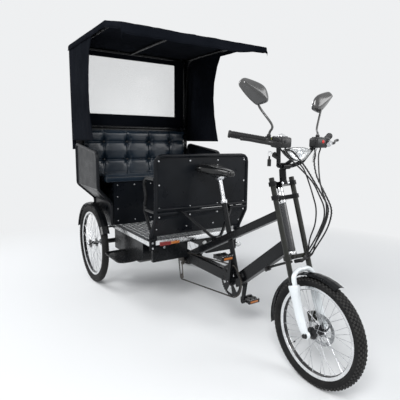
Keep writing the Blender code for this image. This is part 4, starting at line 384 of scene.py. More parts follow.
LOOKS = {
    POWDER: (
        "front_fender", "rear_fender_left", "rear_fender_right", "handlebar", "head_tube", "lower_beam",
        "down_beam", "upper_beam", "seat_tube", "crankset", "rear_axle", "chassis", "side_step_left",
        "side_step_right", "grab_hoop_left", "grab_hoop_right", "partition_stays", "rear_board",
        "canopy_frame", "top_clamp",
    ),
    SHEET: ("seat_box", "partition", "side_guard_left", "side_guard_right"),
    STEEL: (
        "front_wheel", "rear_wheel_left", "rear_wheel_right", "front_lamp", "seat_clamp", "bell",
        "seat_post",
    ),
    FORK_DARK: ("fork_crown", "brake_caliper", "drive_motor"),
    CHAIN_STEEL: ("chain", "drive_sprocket"),
    WHITE: ("fork_lowers",),
    TYRE: ("front_tyre", "rear_tyre_left", "rear_tyre_right"),
    GRIP: ("grip_left", "grip_right"),
    CABLE: ("steering_cables", "frame_cables"),
    LEATHER: ("saddle", "seat_cushion", "backrest"),
    CLOTH: ("canopy_roof", "canopy_side_left", "canopy_side_right", "canopy_rear"),
    FILM: ("rear_window",),
    TREAD: ("floor_plate",),
    PLASTIC: ("mirror_left", "mirror_right", "pedal_left", "pedal_right", "control_left", "control_right"),
    RED_LENS: ("front_reflector",),
}
for look, names in LOOKS.items():
    for name in names:
        mesh = nodes[name].data
        mesh.materials.clear()
        mesh.materials.append(look)


ROOT = "frame"
REAR_X = (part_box("rear_tyre_left")[0][0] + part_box("rear_tyre_left")[1][0]) / 2


AHEAD = Vector((1.0, 0.0, 0.0))
LEFT = Vector((0.0, 1.0, 0.0))
UP = Vector((0.0, 0.0, 1.0))


def at(x, y, z):
    """A point measured from the ground under the rear axle."""
    return Vector((REAR_X + x, y, z))


def unit(value):
    """The value held between 0 and 1."""
    return min(1.0, max(0.0, value))


def shown(name, mesh, body, look):
    """Puts a finished mesh into the scene as a piece of the object."""
    made = bpy.data.objects.new(name, mesh)
    bpy.context.scene.collection.objects.link(made)
    mesh.materials.clear()
    mesh.materials.append(look)
    mesh.shade_smooth()
    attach(made, body)
    return made


def shown_parts(name, parts, body, look):
    """One piece from several closed meshes."""
    return shown(name, merged(name, parts), body, look)


def shown_copies(tree, name, places, sizes, body, look):
    """One piece from the copies that a Geometry Nodes tree sets on its places."""
    return crisp(shown(name, grown(tree, name, places, sizes, look), body, look))


def settled(obj, name):
    """The evaluated mesh of a helper object, which is then removed."""
    bpy.context.view_layer.update()
    graph = bpy.context.evaluated_depsgraph_get()
    mesh = bpy.data.meshes.new_from_object(obj.evaluated_get(graph))
    mesh.name = name
    mesh.transform(obj.matrix_world)
    bpy.data.objects.remove(obj, do_unlink=True)
    return mesh


def helper(name, mesh):
    made = bpy.data.objects.new(name, mesh)
    bpy.context.scene.collection.objects.link(made)
    return made


def mesh_from(name, bm):
    """A new mesh from a bmesh, which is then freed."""
    mesh = bpy.data.meshes.new(name)
    bm.to_mesh(mesh)
    bm.free()
    return mesh


def bare_dropped(bm):
    """Removes the points that no face uses."""
    for vert in [v for v in bm.verts if not v.link_faces]:
        bm.verts.remove(vert)


def grid_mesh(name, columns, rows, point, keep=None):
    """Grid of quads from a function of (column, row), with cells left out where keep says so."""
    bm = bmesh.new()
    verts = []
    for i in range(columns + 1):
        verts.append([bm.verts.new(point(i / columns, j / rows)) for j in range(rows + 1)])
    for i in range(columns):
        for j in range(rows):
            if keep is None or keep(i, j):
                bm.faces.new((verts[i][j], verts[i + 1][j], verts[i + 1][j + 1], verts[i][j + 1]))
    bare_dropped(bm)
    return mesh_from(name, bm)


def thick(mesh, name, amount, offset=-1.0):
    """A sheet's mesh with its wall's thickness."""
    made = helper(name, mesh)
    wall = made.modifiers.new("Solidify", "SOLIDIFY")
    wall.thickness = amount
    wall.offset = offset
    wall.use_even_offset = True
    return settled(made, name)


def piping(name, points, radius, closed=False, sides=3):
    """Round cord or tube along smooth points."""
    curve = bpy.data.curves.new(name, "CURVE")
    curve.dimensions = "3D"
    curve.bevel_depth = radius
    curve.bevel_resolution = sides
    curve.use_fill_caps = not closed
    spline = curve.splines.new("POLY")
    spline.points.add(len(points) - 1)
    for place, p in zip(spline.points, points):
        place.co = (p[0], p[1], p[2], 1.0)
    spline.use_cyclic_u = closed
    made = bpy.data.objects.new(name, curve)
    bpy.context.scene.collection.objects.link(made)
    return settled(made, name)


def smooth_path(points, steps=8, closed=False):
    """Catmull-Rom points through a few places on a route."""
    pts = [Vector(p) for p in points]
    if not closed:
        pts = [pts[0] * 2 - pts[1]] + pts + [pts[-1] * 2 - pts[-2]]
    count = len(pts)
    out = []
    spans = count if closed else count - 3
    for i in range(spans):
        if closed:
            a, b, c, d = (pts[(i + k) % count] for k in range(4))
        else:
            a, b, c, d = pts[i:i + 4]
        for k in range(steps):
            t = k / steps
            out.append(0.5 * (
                2 * b + (c - a) * t + (2 * a - 5 * b + 4 * c - d) * t ** 2 + (3 * b - a - 3 * c + d) * t ** 3
            ))
    if not closed:
        out.append(pts[-2])
    return out


def merged(name, meshes):
    bm = bmesh.new()
    for mesh in meshes:
        bm.from_mesh(mesh)
    return mesh_from(name, bm)


# Geometry Nodes tools for pieces that repeat
class Grower(NodeWork):
    """A Geometry Nodes tree with named inputs for its sizes."""

    def __init__(self, name):
        self.tree = bpy.data.node_groups.new(name, "GeometryNodeTree")
        for way in ("INPUT", "OUTPUT"):
            self.tree.interface.new_socket("Geometry", in_out=way, socket_type="NodeSocketGeometry")
        self.given = self.node("NodeGroupInput")
        self.finish_material = self.asked("Finish", "NodeSocketMaterial")

    def asked(self, name, kind="NodeSocketFloat"):
        self.tree.interface.new_socket(name, in_out="INPUT", socket_type=kind)
        return self.given.outputs[name]

    def times(self, value, factor):
        return self.math("MULTIPLY", value, factor)

    def vector(self, x=0.0, y=0.0, z=0.0):
        made = self.node("ShaderNodeCombineXYZ")
        self.feed((x, y, z), made.inputs)
        return made.outputs[0]

    def pin(self, sides, radius, depth, place):
        """Cylinder with its axis along X."""
        return self.moved(self.drum(sides, radius, depth), place, (0.0, math.radians(90.0), 0.0))

    def drum(self, sides, radius, depth, lift=None):
        """Cylinder, raised along its axis by lift."""
        made = self.node("GeometryNodeMeshCylinder")
        made.inputs["Vertices"].default_value = sides
        self.link(radius, made.inputs["Radius"])
        self.link(depth, made.inputs["Depth"])
        out = made.outputs["Mesh"]
        if lift is not None:
            out = self.moved(out, self.vector(z=lift))
        return out

    def block(self, size):
        made = self.node("GeometryNodeMeshCube")
        self.link(size, made.inputs["Size"])
        return made.outputs["Mesh"]

    def moved(self, geometry, shift, turn=None):
        made = self.node("GeometryNodeTransform")
        self.link(geometry, made.inputs["Geometry"])
        self.link(shift, made.inputs["Translation"])
        if turn is not None:
            made.inputs["Rotation"].default_value = turn
        return made.outputs["Geometry"]

    def joined(self, *parts):
        made = self.node("GeometryNodeJoinGeometry")
        for part in parts:
            self.link(part, made.inputs[0])
        return made.outputs[0]

    def facing(self, name, axis, turn=None):
        """Rotation that points an axis of the copied shape along a vector kept on the points."""
        kept = self.node("GeometryNodeInputNamedAttribute", data_type="FLOAT_VECTOR")
        kept.inputs["Name"].default_value = name
        made = self.node("FunctionNodeAlignRotationToVector", axis=axis)
        self.link(kept.outputs[0], made.inputs["Vector"])
        if turn is not None:
            self.link(turn, made.inputs["Rotation"])
            made.pivot_axis = "AUTO"
        return made.outputs[0]

    def copies(self, points, shape, rotation):
        made = self.node("GeometryNodeInstanceOnPoints")
        self.link(points, made.inputs["Points"])
        self.link(shape, made.inputs["Instance"])
        self.link(rotation, made.inputs["Rotation"])
        return made.outputs[0]

    def finish(self, geometry):
        real = self.node("GeometryNodeRealizeInstances")
        self.link(geometry, real.inputs[0])
        look = self.node("GeometryNodeSetMaterial")
        self.link(real.outputs[0], look.inputs["Geometry"])
        self.link(self.finish_material, look.inputs["Material"])
        out = self.node("NodeGroupOutput")
        self.link(look.outputs[0], out.inputs[0])
        return self.tree


def grown(group, name, places, sizes, look):
    """Plain mesh of a tree run on a mesh of points; places are (point, facing, along)."""
    carrier = bpy.data.meshes.new(name)
    carrier.from_pydata([tuple(p) for p, _, _ in places], [], [])
    for key, index in (("facing", 1), ("along", 2)):
        kept = carrier.attributes.new(key, "FLOAT_VECTOR", "POINT")
        for item, place in zip(kept.data, places):
            item.vector = place[index]
    made = helper(name, carrier)
    step = made.modifiers.new("Grow", "NODES")
    step.node_group = group
    for item in group.interface.items_tree:
        if item.item_type != "SOCKET" or item.in_out != "INPUT":
            continue
        if item.name == "Finish":
            step[item.identifier] = look
        elif item.name in sizes:
            step[item.identifier] = sizes[item.name]
    made.update_tag()
    return settled(made, name)


def hex_sizes(head_r, head_h, washer_r, washer_h):
    return {
        "Head radius": head_r, "Head height": head_h, "Washer radius": washer_r, "Washer height": washer_h,
    }


def dome_sizes(radius, height):
    return {"Head radius": radius, "Head height": height}


def lug_sizes(width, length, height):
    return {"Lug width": width, "Lug length": length, "Lug height": height}


def bolt_tree():
    """Hexagon head on a washer at every point, its axis along the facing vector."""
    made = Grower("bolts")
    head_r = made.asked("Head radius")
    head_h = made.asked("Head height")
    washer_r = made.asked("Washer radius")
    washer_h = made.asked("Washer height")
    washer = made.drum(20, washer_r, washer_h, made.times(washer_h, 0.5))
    lift = made.math("ADD", washer_h, made.times(head_h, 0.5))
    head = made.drum(6, head_r, head_h, lift)
    cap_lift = made.math("ADD", washer_h, made.times(head_h, 1.08))
    cap = made.drum(12, made.times(head_r, 0.72), made.times(head_h, 0.25), cap_lift)
    shape = made.joined(washer, head, cap)
    return made.finish(made.copies(made.given.outputs["Geometry"], shape, made.facing("facing", "Z")))


def dome_tree():
    """Low round head, such as a pan screw or a rivet, at every point."""
    made = Grower("domes")
    radius = made.asked("Head radius")
    height = made.asked("Head height")
    ball = made.node("GeometryNodeMeshUVSphere")
    ball.inputs["Segments"].default_value = 16
    ball.inputs["Rings"].default_value = 8
    ball.inputs["Radius"].default_value = 1.0
    sized = made.node("GeometryNodeTransform")
    made.link(ball.outputs["Mesh"], sized.inputs["Geometry"])
    made.link(made.vector(radius, radius, height), sized.inputs["Scale"])
    skirt = made.drum(16, made.times(radius, 1.25), made.times(height, 0.35), made.times(height, 0.17))
    shape = made.joined(sized.outputs["Geometry"], skirt)
    return made.finish(made.copies(made.given.outputs["Geometry"], shape, made.facing("facing", "Z")))


def lug_tree():
    """Tapered rubber block at every point: X across, Y along the tread, Z outwards."""
    made = Grower("tread_lugs")
    wide = made.asked("Lug width")
    long = made.asked("Lug length")
    high = made.asked("Lug height")
    bottom = made.block(made.vector(wide, long, high))
    place = made.node("GeometryNodeInputPosition")
    split = made.node("ShaderNodeSeparateXYZ")
    made.link(place.outputs[0], split.inputs[0])
    top = made.math("GREATER_THAN", split.outputs[2], 0.0)
    shrink = made.math("SUBTRACT", 1.0, made.times(top, 0.28))
    shaped = made.node("GeometryNodeSetPosition")
    made.link(bottom, shaped.inputs["Geometry"])
    across, along, up = split.outputs
    drawn_in = made.vector(made.times(across, shrink), made.times(along, shrink), up)
    made.link(drawn_in, shaped.inputs["Position"])
    turned = made.facing("along", "Y", made.facing("facing", "Z"))
    return made.finish(made.copies(made.given.outputs["Geometry"], shaped.outputs[0], turned))


def rod_tree():
    """Thin round rod of the length kept on each point, from the point along its facing vector."""
    made = Grower("rods")
    radius = made.asked("Rod radius")
    rod = made.node("GeometryNodeMeshCylinder")
    rod.inputs["Vertices"].default_value = 6
    made.link(radius, rod.inputs["Radius"])
    rod.inputs["Depth"].default_value = 1.0
    raised = made.moved(rod.outputs["Mesh"], made.vector(z=0.5))
    copies = made.node("GeometryNodeInstanceOnPoints")
    made.link(made.given.outputs["Geometry"], copies.inputs["Points"])
    made.link(raised, copies.inputs["Instance"])
    made.link(made.facing("facing", "Z"), copies.inputs["Rotation"])
    kept = made.node("GeometryNodeInputNamedAttribute", data_type="FLOAT_VECTOR")
    kept.inputs["Name"].default_value = "along"
    split = made.node("ShaderNodeSeparateXYZ")
    made.link(kept.outputs[0], split.inputs[0])
    made.link(made.vector(1.0, 1.0, split.outputs[0]), copies.inputs["Scale"])
    return made.finish(copies.outputs[0])


def link_tree():
    """Chain link at every point: two side plates and a roller, Y along the run and Z outwards."""
    made = Grower("chain_links")
    pitch = made.asked("Pitch")
    high = made.asked("Plate height")
    wide = made.asked("Chain width")
    plate_t = made.times(wide, 0.16)
    outer = made.times(wide, 0.42)
    parts = []
    for side in (1.0, -1.0):
        plate = made.block(made.vector(plate_t, made.times(pitch, 1.30), made.times(high, 0.72)))
        parts.append(made.moved(plate, made.vector(x=made.times(outer, side))))
        for reach in (0.5, -0.5):
            at_end = made.vector(made.times(outer, side), made.times(pitch, reach), 0.0)
            parts.append(made.pin(10, made.times(high, 0.5), plate_t, at_end))
    parts.append(made.pin(10, made.times(high, 0.42), wide, made.vector(y=made.times(pitch, 0.5))))
    turned = made.facing("along", "Y", made.facing("facing", "Z"))
    return made.finish(made.copies(made.given.outputs["Geometry"], made.joined(*parts), turned))


BOLTS = bolt_tree()
DOMES = dome_tree()
LUGS = lug_tree()
RODS = rod_tree()
LINKS = link_tree()


def lathe(name, profile, centre, axis=(0.0, 1.0, 0.0), steps=96, closed=False):
    """Turned body from (radius, place along the axis) pairs; poles are closed."""
    axis = Vector(axis).normalized()
    side = axis.orthogonal().normalized()
    other = axis.cross(side)
    centre = Vector(centre)
    bm = bmesh.new()
    rings = []
    for radius, along in profile:
        if radius <= 0.0:
            rings.append([bm.verts.new(centre + axis * along)])
            continue
        ring = []
        for k in range(steps):
            a = 2 * math.pi * k / steps
            out = side * math.cos(a) + other * math.sin(a)
            ring.append(bm.verts.new(centre + axis * along + out * radius))
        rings.append(ring)
    pairs = list(zip(rings, rings[1:]))
    if closed:
        pairs.append((rings[-1], rings[0]))
    for a, b in pairs:
        for k in range(steps):
            n = (k + 1) % steps
            if len(a) == 1 and len(b) == 1:
                continue
            if len(a) == 1:
                bm.faces.new((a[0], b[n], b[k]))
            elif len(b) == 1:
                bm.faces.new((a[k], a[n], b[0]))
            else:
                bm.faces.new((a[k], a[n], b[n], b[k]))
    bmesh.ops.recalc_face_normals(bm, faces=bm.faces)
    if bm.calc_volume(signed=True) < 0.0:
        bmesh.ops.reverse_faces(bm, faces=bm.faces)
    return mesh_from(name, bm)


def crisp(made, angle=32.0):
    """Smooth shading with sharp edges kept above an angle."""
    made.data.shade_smooth()
    made.data.set_sharp_from_angle(angle=math.radians(angle))
    return made


def block_mesh(name, low, high, edge=0.0, segments=2):
    low = Vector(low)
    high = Vector(high)
    bm = bmesh.new()
    bmesh.ops.create_cube(bm, size=1.0)
    bmesh.ops.scale(bm, vec=high - low, verts=bm.verts)
    bmesh.ops.translate(bm, vec=(low + high) / 2, verts=bm.verts)
    if edge > 0.0:
        bmesh.ops.bevel(bm, geom=list(bm.edges), offset=edge, segments=segments, affect="EDGES", profile=0.5)
    return mesh_from(name, bm)


def slab(name, outline, origin, across, up, thickness):
    """Closed slab from an outline (across, up), standing out from the origin plane by its thickness."""
    across = Vector(across).normalized()
    up = Vector(up).normalized()
    out = across.cross(up)
    origin = Vector(origin)
    bm = bmesh.new()
    near = [bm.verts.new(origin + across * a + up * b) for a, b in outline]
    far = [bm.verts.new(origin + across * a + up * b + out * thickness) for a, b in outline]
    bm.faces.new(list(reversed(near)))
    bm.faces.new(far)
    count = len(outline)
    for k in range(count):
        n = (k + 1) % count
        bm.faces.new((near[k], near[n], far[n], far[k]))
    bmesh.ops.recalc_face_normals(bm, faces=bm.faces)
    return mesh_from(name, bm)


# Seat cushion and backrest
PUFF_FRAMES = 18
SEAT_CROWN = 0.006
SEAT_SINK = 0.002
WELT_R = 0.0028
BUTTON_Y = (-0.319, -0.106, 0.106, 0.319)
BUTTON_Z = (1.183, 1.030)
PAD_FACE = 0.030
BUTTON_R = 0.0095


def rounded_block(name, low, high, edge, cell):
    """Closed box with rounded edges on an even grid, ready to be puffed."""
    made = helper(name, block_mesh(name, low, high, edge, 3))
    remesh = made.modifiers.new("Remesh", "REMESH")
    remesh.mode = "VOXEL"
    remesh.voxel_size = cell
    return settled(made, name)


def puffed(mesh, name, pressure, cap, hold):
    """Cloth with pressure inside, each point's move kept under a cap and then held."""
    start = [v.co.copy() for v in mesh.vertices]
    made = helper(name, mesh)
    cloth = made.modifiers.new("Cloth", "CLOTH")
    cloth.settings.use_pressure = True
    cloth.settings.uniform_pressure_force = pressure
    cloth.settings.quality = 4
    cloth.settings.tension_stiffness = 12.0
    cloth.settings.compression_stiffness = 12.0
    cloth.settings.bending_stiffness = 0.6
    cloth.settings.effector_weights.gravity = 0.0
    cloth.collision_settings.use_collision = False
    scene = bpy.context.scene
    for number in range(1, PUFF_FRAMES + 1):
        scene.frame_set(number)
    result = settled(made, name)
    for vert, before in zip(result.vertices, start):
        move = vert.co - before
        if move.length > cap:
            move = move.normalized() * cap
        vert.co = hold(before + move)
    scene.frame_set(1)
    return result


def bench_cushion():
    low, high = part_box("seat_cushion")
    low = Vector(low)
    high = Vector(high)
    inset = 0.008
    near = low + Vector((inset, inset, 0.0))
    far = high - Vector((0.004, inset, 0.004))
    block = rounded_block("seat_pad", near, far, edge=0.016, cell=0.008)

    def hold(co):
        """Keeps the pad above its board and ahead of the backrest."""
        co.z = max(co.z, low.z)
        co.x = max(co.x, low.x)
        return co

    mesh = puffed(block, "seat_pad", pressure=3.0, cap=0.010, hold=hold)
    for vert in mesh.vertices:
        share = (vert.co.y - low.y) / (high.y - low.y)
        crown = math.sin(math.pi * unit(share)) ** 0.5
        deep = (vert.co.x - low.x) / (high.x - low.x)
        if vert.co.z > (low.z + high.z) / 2:
            vert.co.z += SEAT_CROWN * crown * math.sin(math.pi * unit(deep)) - SEAT_SINK
    pad = shown("seat_pad", mesh, ROOT, LEATHER)
    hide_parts("seat_cushion")
    welts = []
    for height in (low.z + 0.006, high.z - 0.007):
        line = [Vector((high.x - 0.003, y, height)) for y in (low.y + 0.02, 0.0, high.y - 0.02)]
        welts.append(piping("welt", line, WELT_R))
    shown_parts("seat_pad_welt", welts, ROOT, LEATHER)


def crease(distance, deep, wide, power):
    """How far a crease draws the cover in, at a distance from its line."""
    return deep * math.exp(-(distance / wide) ** power)


def pit_distance(across, up):
    """Distance from a button, shorter upwards, because the cover sags a little from it."""
    return math.hypot(across * 1.25, up * 0.85 - (0.004 if up > 0.0 else 0.0))


def tufted_back():
    """Backrest cover: a grid whose height falls to creases between the buttons and to a pit at each."""
    low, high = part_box("backrest")
    low = Vector(low)
    high = Vector(high)
    columns = 280
    rows = 130
    back = high.x - PAD_FACE

    def depth(y, z):
        column = min(BUTTON_Y, key=lambda c: abs(y - c))
        row = min(BUTTON_Z, key=lambda r: abs(z - r))
        near_column = abs(y - column)
        near_row = abs(z - row)
        angle = math.atan2(z - row, y - column)
        pit = min(pit_distance(y - c, z - r) for c in BUTTON_Y for r in BUTTON_Z)
        edge = min(y - low.y, high.y - y, z - low.z, high.z - z)
        height = PAD_FACE
        height -= crease(near_column, 0.0065, 0.0075, 1.4)
        height -= crease(near_row, 0.0085, 0.0085, 1.4)
        height -= crease(pit, 0.029, 0.030, 1.5)
        height -= crease(near_column, 0.004, 0.03, 1.0) + crease(near_row, 0.004, 0.03, 1.0)
        height -= crease(edge, 0.024, 0.016, 1.6)
        height -= 0.0022 * math.cos(8.0 * angle) * math.exp(-((pit - 0.030) / 0.018) ** 2)
        return height

    def point(u, v):
        y = low.y + (high.y - low.y) * u
        z = low.z + (high.z - low.z) * v
        return Vector((back + depth(y, z), y, z))

    mesh = grid_mesh("back_pad", columns, rows, point)
    bm = bmesh.new()
    bm.from_mesh(mesh)
    rim = [e for e in bm.edges if e.is_boundary]
    made = bmesh.ops.extrude_edge_only(bm, edges=rim)
    verts = [g for g in made["geom"] if isinstance(g, bmesh.types.BMVert)]
    for vert in verts:
        vert.co.x = low.x + 0.001
    bmesh.ops.holes_fill(bm, edges=[e for e in bm.edges if e.is_boundary], sides=0)
    bmesh.ops.recalc_face_normals(bm, faces=bm.faces)
    bm.to_mesh(mesh)
    bm.free()
    pad = shown("back_pad", mesh, ROOT, LEATHER)
    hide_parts("backrest")
    buttons = []
    for y in BUTTON_Y:
        for z in BUTTON_Z:
            bm = bmesh.new()
            bmesh.ops.create_uvsphere(bm, u_segments=20, v_segments=10, radius=BUTTON_R)
            bmesh.ops.scale(bm, vec=(0.55, 1.0, 1.0), verts=bm.verts)
            bmesh.ops.translate(bm, vec=(back + 0.0075, y, z), verts=bm.verts)
            buttons.append(mesh_from("button", bm))
    # The buttons take the darker hub black rather than the leather: painted shade that darkens the pit round
    # each one.
    shown_parts("back_pad_buttons", buttons, ROOT, HUB_BLACK_AND_PIT_SHADE)


bench_cushion()
tufted_back()


# Canopy cloth
ROOF_HALF = 0.560
ROOF_ROWS = ((-0.175, 1.958), (0.690, 1.946), (0.975, 1.872))
CLOTH_WALL = 0.0022
FILM_WALL = 0.0008
SIDE_HEM_R = 0.0030
FRONT_HEM_R = 0.0032
LOW_HEM_R = 0.0028
BINDING_R = 0.0035
SKIRT = 0.040
LIP = 0.062
LIP_TAPER = 0.22
LIP_FADE = 0.6
SAG = 0.005
BARS_X = (-0.175, 0.690, 0.975)


def roof_height(x):
    """Height of the canopy frame's bars, joined by straight lines."""
    for (ax, az), (bx, bz) in zip(ROOF_ROWS, ROOF_ROWS[1:]):
        if x <= bx:
            return az + (bz - az) * (x - ax) / (bx - ax)
    return ROOF_ROWS[-1][1]


def ripple(x, y, z, scale, seed=0.0):
    """Soft folds that are the same on every run."""
    return noise.fractal(Vector((x * scale + seed, y * scale, z * scale)), 0.7, 2.0, 3)


def canopy_roof():
    columns = 92
    rows = 84
    rear = ROOF_ROWS[0][0]
    front = ROOF_ROWS[-1][0]
    across = 2 * ROOF_HALF
    girth = across + 2 * SKIRT
    length = front - rear + LIP

    def point(u, v):
        run = u * length
        lip = max(0.0, run - (front - rear))
        lip *= 1.0 - LIP_FADE * unit((v * girth - SKIRT - (1.0 - LIP_TAPER) * across) / (LIP_TAPER * across))
        x = min(front, rear + run)
        s = v * girth - SKIRT
        hang = max(0.0, -s, s - across)
        y = -ROOF_HALF + min(max(s, 0.0), across)
        z = roof_height(x)
        inside = math.sin(math.pi * unit(s / across))
        bay = 0.0
        for a, b in zip(BARS_X, BARS_X[1:]):
            if a <= x <= b:
                bay = math.sin(math.pi * (x - a) / (b - a))
        z -= SAG * bay * inside
        creases = 0.0040 * ripple(x, y, 0.0, 5.0) + 0.0022 * ripple(x, y, 0.0, 15.0, 4.0)
        z += creases * (0.35 + 0.65 * inside)
        z -= hang + lip
        edge = min(hang, 0.014) / 0.014
        if hang > 0.0:
            side = -1.0 if s < 0.0 else 1.0
            y += side * (0.0012 * edge + 0.0042 * ripple(x, 3.0 * side, z * 2.0, 11.0, 5.0) * edge)
        if lip > 0.0:
            x += 0.004 * ripple(2.0, y, z * 2.0, 11.0, 9.0) * min(1.0, lip / 0.01)
        return at(x, y, z)

    sheet = grid_mesh("canopy_top", columns, rows, point)
    mesh = thick(sheet, "canopy_top", CLOTH_WALL)
    made = shown("canopy_top", mesh, ROOT, CLOTH)
    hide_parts("canopy_roof")
    flat_steps = int(60 * (front - rear) / length)
    hem = []
    for side in (0.0, 1.0):
        hem.append(piping("hem", [point(u / 60, side) for u in range(flat_steps)], SIDE_HEM_R))
    hem.append(piping("hem", [point(1.0, v / 60) for v in range(3, 58)], FRONT_HEM_R))
    hems = shown_parts("canopy_top_hem", hem, ROOT, CLOTH)


WING_TOP = 1.948
WING_LOW = 1.195
WING_REAR = -0.1735
WING_SIDE = 0.5545
WING_EDGE = (
    (1.195, 0.378), (1.300, 0.340), (1.430, 0.312), (1.560, 0.302), (1.700, 0.312), (1.830, 0.350),
    (1.945, 0.420),
)


def wing_front(z):
    """Place of the wing's curved front edge at a height."""
    for (az, ax), (bz, bx) in zip(WING_EDGE, WING_EDGE[1:]):
        if z <= bz:
            return ax + (bx - ax) * (z - az) / (bz - az)
    return WING_EDGE[-1][1]


def canopy_wing(name, node, side):
    columns = 36
    rows = 60
    drop = WING_TOP - WING_LOW

    def point(u, v):
        z = WING_LOW + drop * v
        x = WING_REAR + (wing_front(z) - WING_REAR) * u
        hang = 1.0 - v
        free = min(1.0, u / 0.15)
        sway = 0.0035 * math.sin(9.0 * x + 3.0 * z) * hang
        folds = 0.0055 * ripple(x * 2.6, side, z * 0.6, 3.6, 2.0)
        folds += 0.0020 * ripple(x * 1.6, side, z, 12.0, 6.0)
        return at(x, side * (WING_SIDE + (sway + folds * min(1.0, 0.25 + hang)) * free), z)

    sheet = grid_mesh(name, columns, rows, point)
    mesh = thick(sheet, name, CLOTH_WALL, 0.0)
    made = shown(name, mesh, ROOT, CLOTH)
    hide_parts(node)
    hem = [
        piping("hem", [point(1.0, v / 50) for v in range(51)], FRONT_HEM_R),
        piping("hem", [point(u / 30, 0.0) for u in range(31)], LOW_HEM_R),
    ]
    hems = shown_parts(name + "_hem", hem, ROOT, CLOTH)


WINDOW = (0.430, 1.420, 1.905)
CURTAIN_X = -0.1725
CURTAIN_HALF = 0.5575
CURTAIN_LOW = 1.120
CURTAIN_TOP = 1.952


def rear_curtain():
    half = CURTAIN_HALF
    low = CURTAIN_LOW
    top = CURTAIN_TOP
    even_y = [round(-half + 2 * half * k / 56, 5) for k in range(57)]
    even_z = [round(low + (top - low) * k / 42, 5) for k in range(43)]
    ys = sorted({-half, half, -WINDOW[0], WINDOW[0], *even_y})
    zs = sorted({low, top, WINDOW[1], WINDOW[2], *even_z})

    def wave(y, z):
        near = unit(min(abs(abs(y) - WINDOW[0]), abs(z - WINDOW[1])) / 0.03)
        return 0.003 * ripple(1.0, y, z, 3.4, 7.0) * near

    bm = bmesh.new()
    verts = {}
    for y in ys:
        for z in zs:
            verts[(y, z)] = bm.verts.new(at(CURTAIN_X + wave(y, z), y, z))
    for ya, yb in zip(ys, ys[1:]):
        for za, zb in zip(zs, zs[1:]):
            mid_y = (ya + yb) / 2
            mid_z = (za + zb) / 2
            if abs(mid_y) < WINDOW[0] and WINDOW[1] < mid_z < WINDOW[2]:
                continue
            bm.faces.new((verts[(ya, za)], verts[(yb, za)], verts[(yb, zb)], verts[(ya, zb)]))
    bare_dropped(bm)
    mesh = thick(mesh_from("rear_curtain", bm), "rear_curtain", CLOTH_WALL, 0.0)
    made = shown("rear_curtain", mesh, ROOT, CLOTH)
    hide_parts("canopy_rear")
    edge = [at(CURTAIN_X, y, z) for y, z in (
        (-WINDOW[0], WINDOW[1]), (WINDOW[0], WINDOW[1]), (WINDOW[0], WINDOW[2]), (-WINDOW[0], WINDOW[2]),
    )]
    hem = [piping("hem", [at(CURTAIN_X, -half + 2 * half * k / 40, low) for k in range(41)], LOW_HEM_R)]
    binding = [piping("binding", [a, (a + b) / 2, b], BINDING_R) for a, b in zip(edge, edge[1:] + edge[:1])]
    hems = shown_parts("rear_curtain_hem", hem + binding, ROOT, CLOTH)

    def pane(u, v):
        y = -WINDOW[0] + 2 * WINDOW[0] * u
        z = WINDOW[1] + (WINDOW[2] - WINDOW[1]) * v
        bulge = math.sin(math.pi * u) * math.sin(math.pi * v)
        return at(CURTAIN_X + 0.004 * bulge * ripple(0.0, y, z, 4.0, 3.0), y, z)

    clear = thick(grid_mesh("window_film", 40, 24, pane), "window_film", FILM_WALL, 0.0)
    film = shown("window_film", clear, ROOT, FILM)
    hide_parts("rear_window")


canopy_roof()
canopy_wing("canopy_wing_left", "canopy_side_left", 1.0)
canopy_wing("canopy_wing_right", "canopy_side_right", -1.0)
rear_curtain()


# Wheels: rims, laced spokes, hubs, brake disc and treaded tyres
FRONT_TYRE_R = 0.272
FRONT_RIM_R = 0.226
REAR_TYRE_R = 0.328
REAR_RIM_R = 0.268
FRONT_HUB = at(2.018, 0.0, FRONT_TYRE_R)
REAR_HUB_Y = 0.459
HALF_HUB = 0.042
SPOKES = 36
LACE_ANGLE = 62.0
SPOKE_R = 0.00125
NIPPLE_R = 0.0024
SHAFT_R = 0.0105
SHAFT_END_Y = 0.355
VALVE_R = 0.0026
VALVE_CAP_R = 0.0037
LUG_HEIGHT = 0.0062
DISC_Y = 0.040
DISC_R = (0.0620, 0.0800)
DISC_ARMS = 6
SCREW_CIRCLE = 0.0215
DISC_ARM = ((0.0, 0.0240, 0.0070), (0.16, 0.038, 0.0046), (0.36, 0.051, 0.0040), (0.50, 0.0640, 0.0062))
TYRE_SECTION = (
    (-0.05, 0.46), (0.07, 0.52), (0.20, 0.76), (0.37, 0.96), (0.54, 1.00), (0.70, 0.94), (0.84, 0.76),
    (0.935, 0.42), (0.965, 0.00),
)
LUG_ROWS = ((0.955, 0.00, 0.0), (0.935, 0.40, 0.5), (0.85, 0.74, 0.0), (0.72, 0.93, 0.5))


def turned_point(centre, radius, y, angle):
    return Vector((centre.x + radius * math.cos(angle), centre.y + y, centre.z + radius * math.sin(angle)))


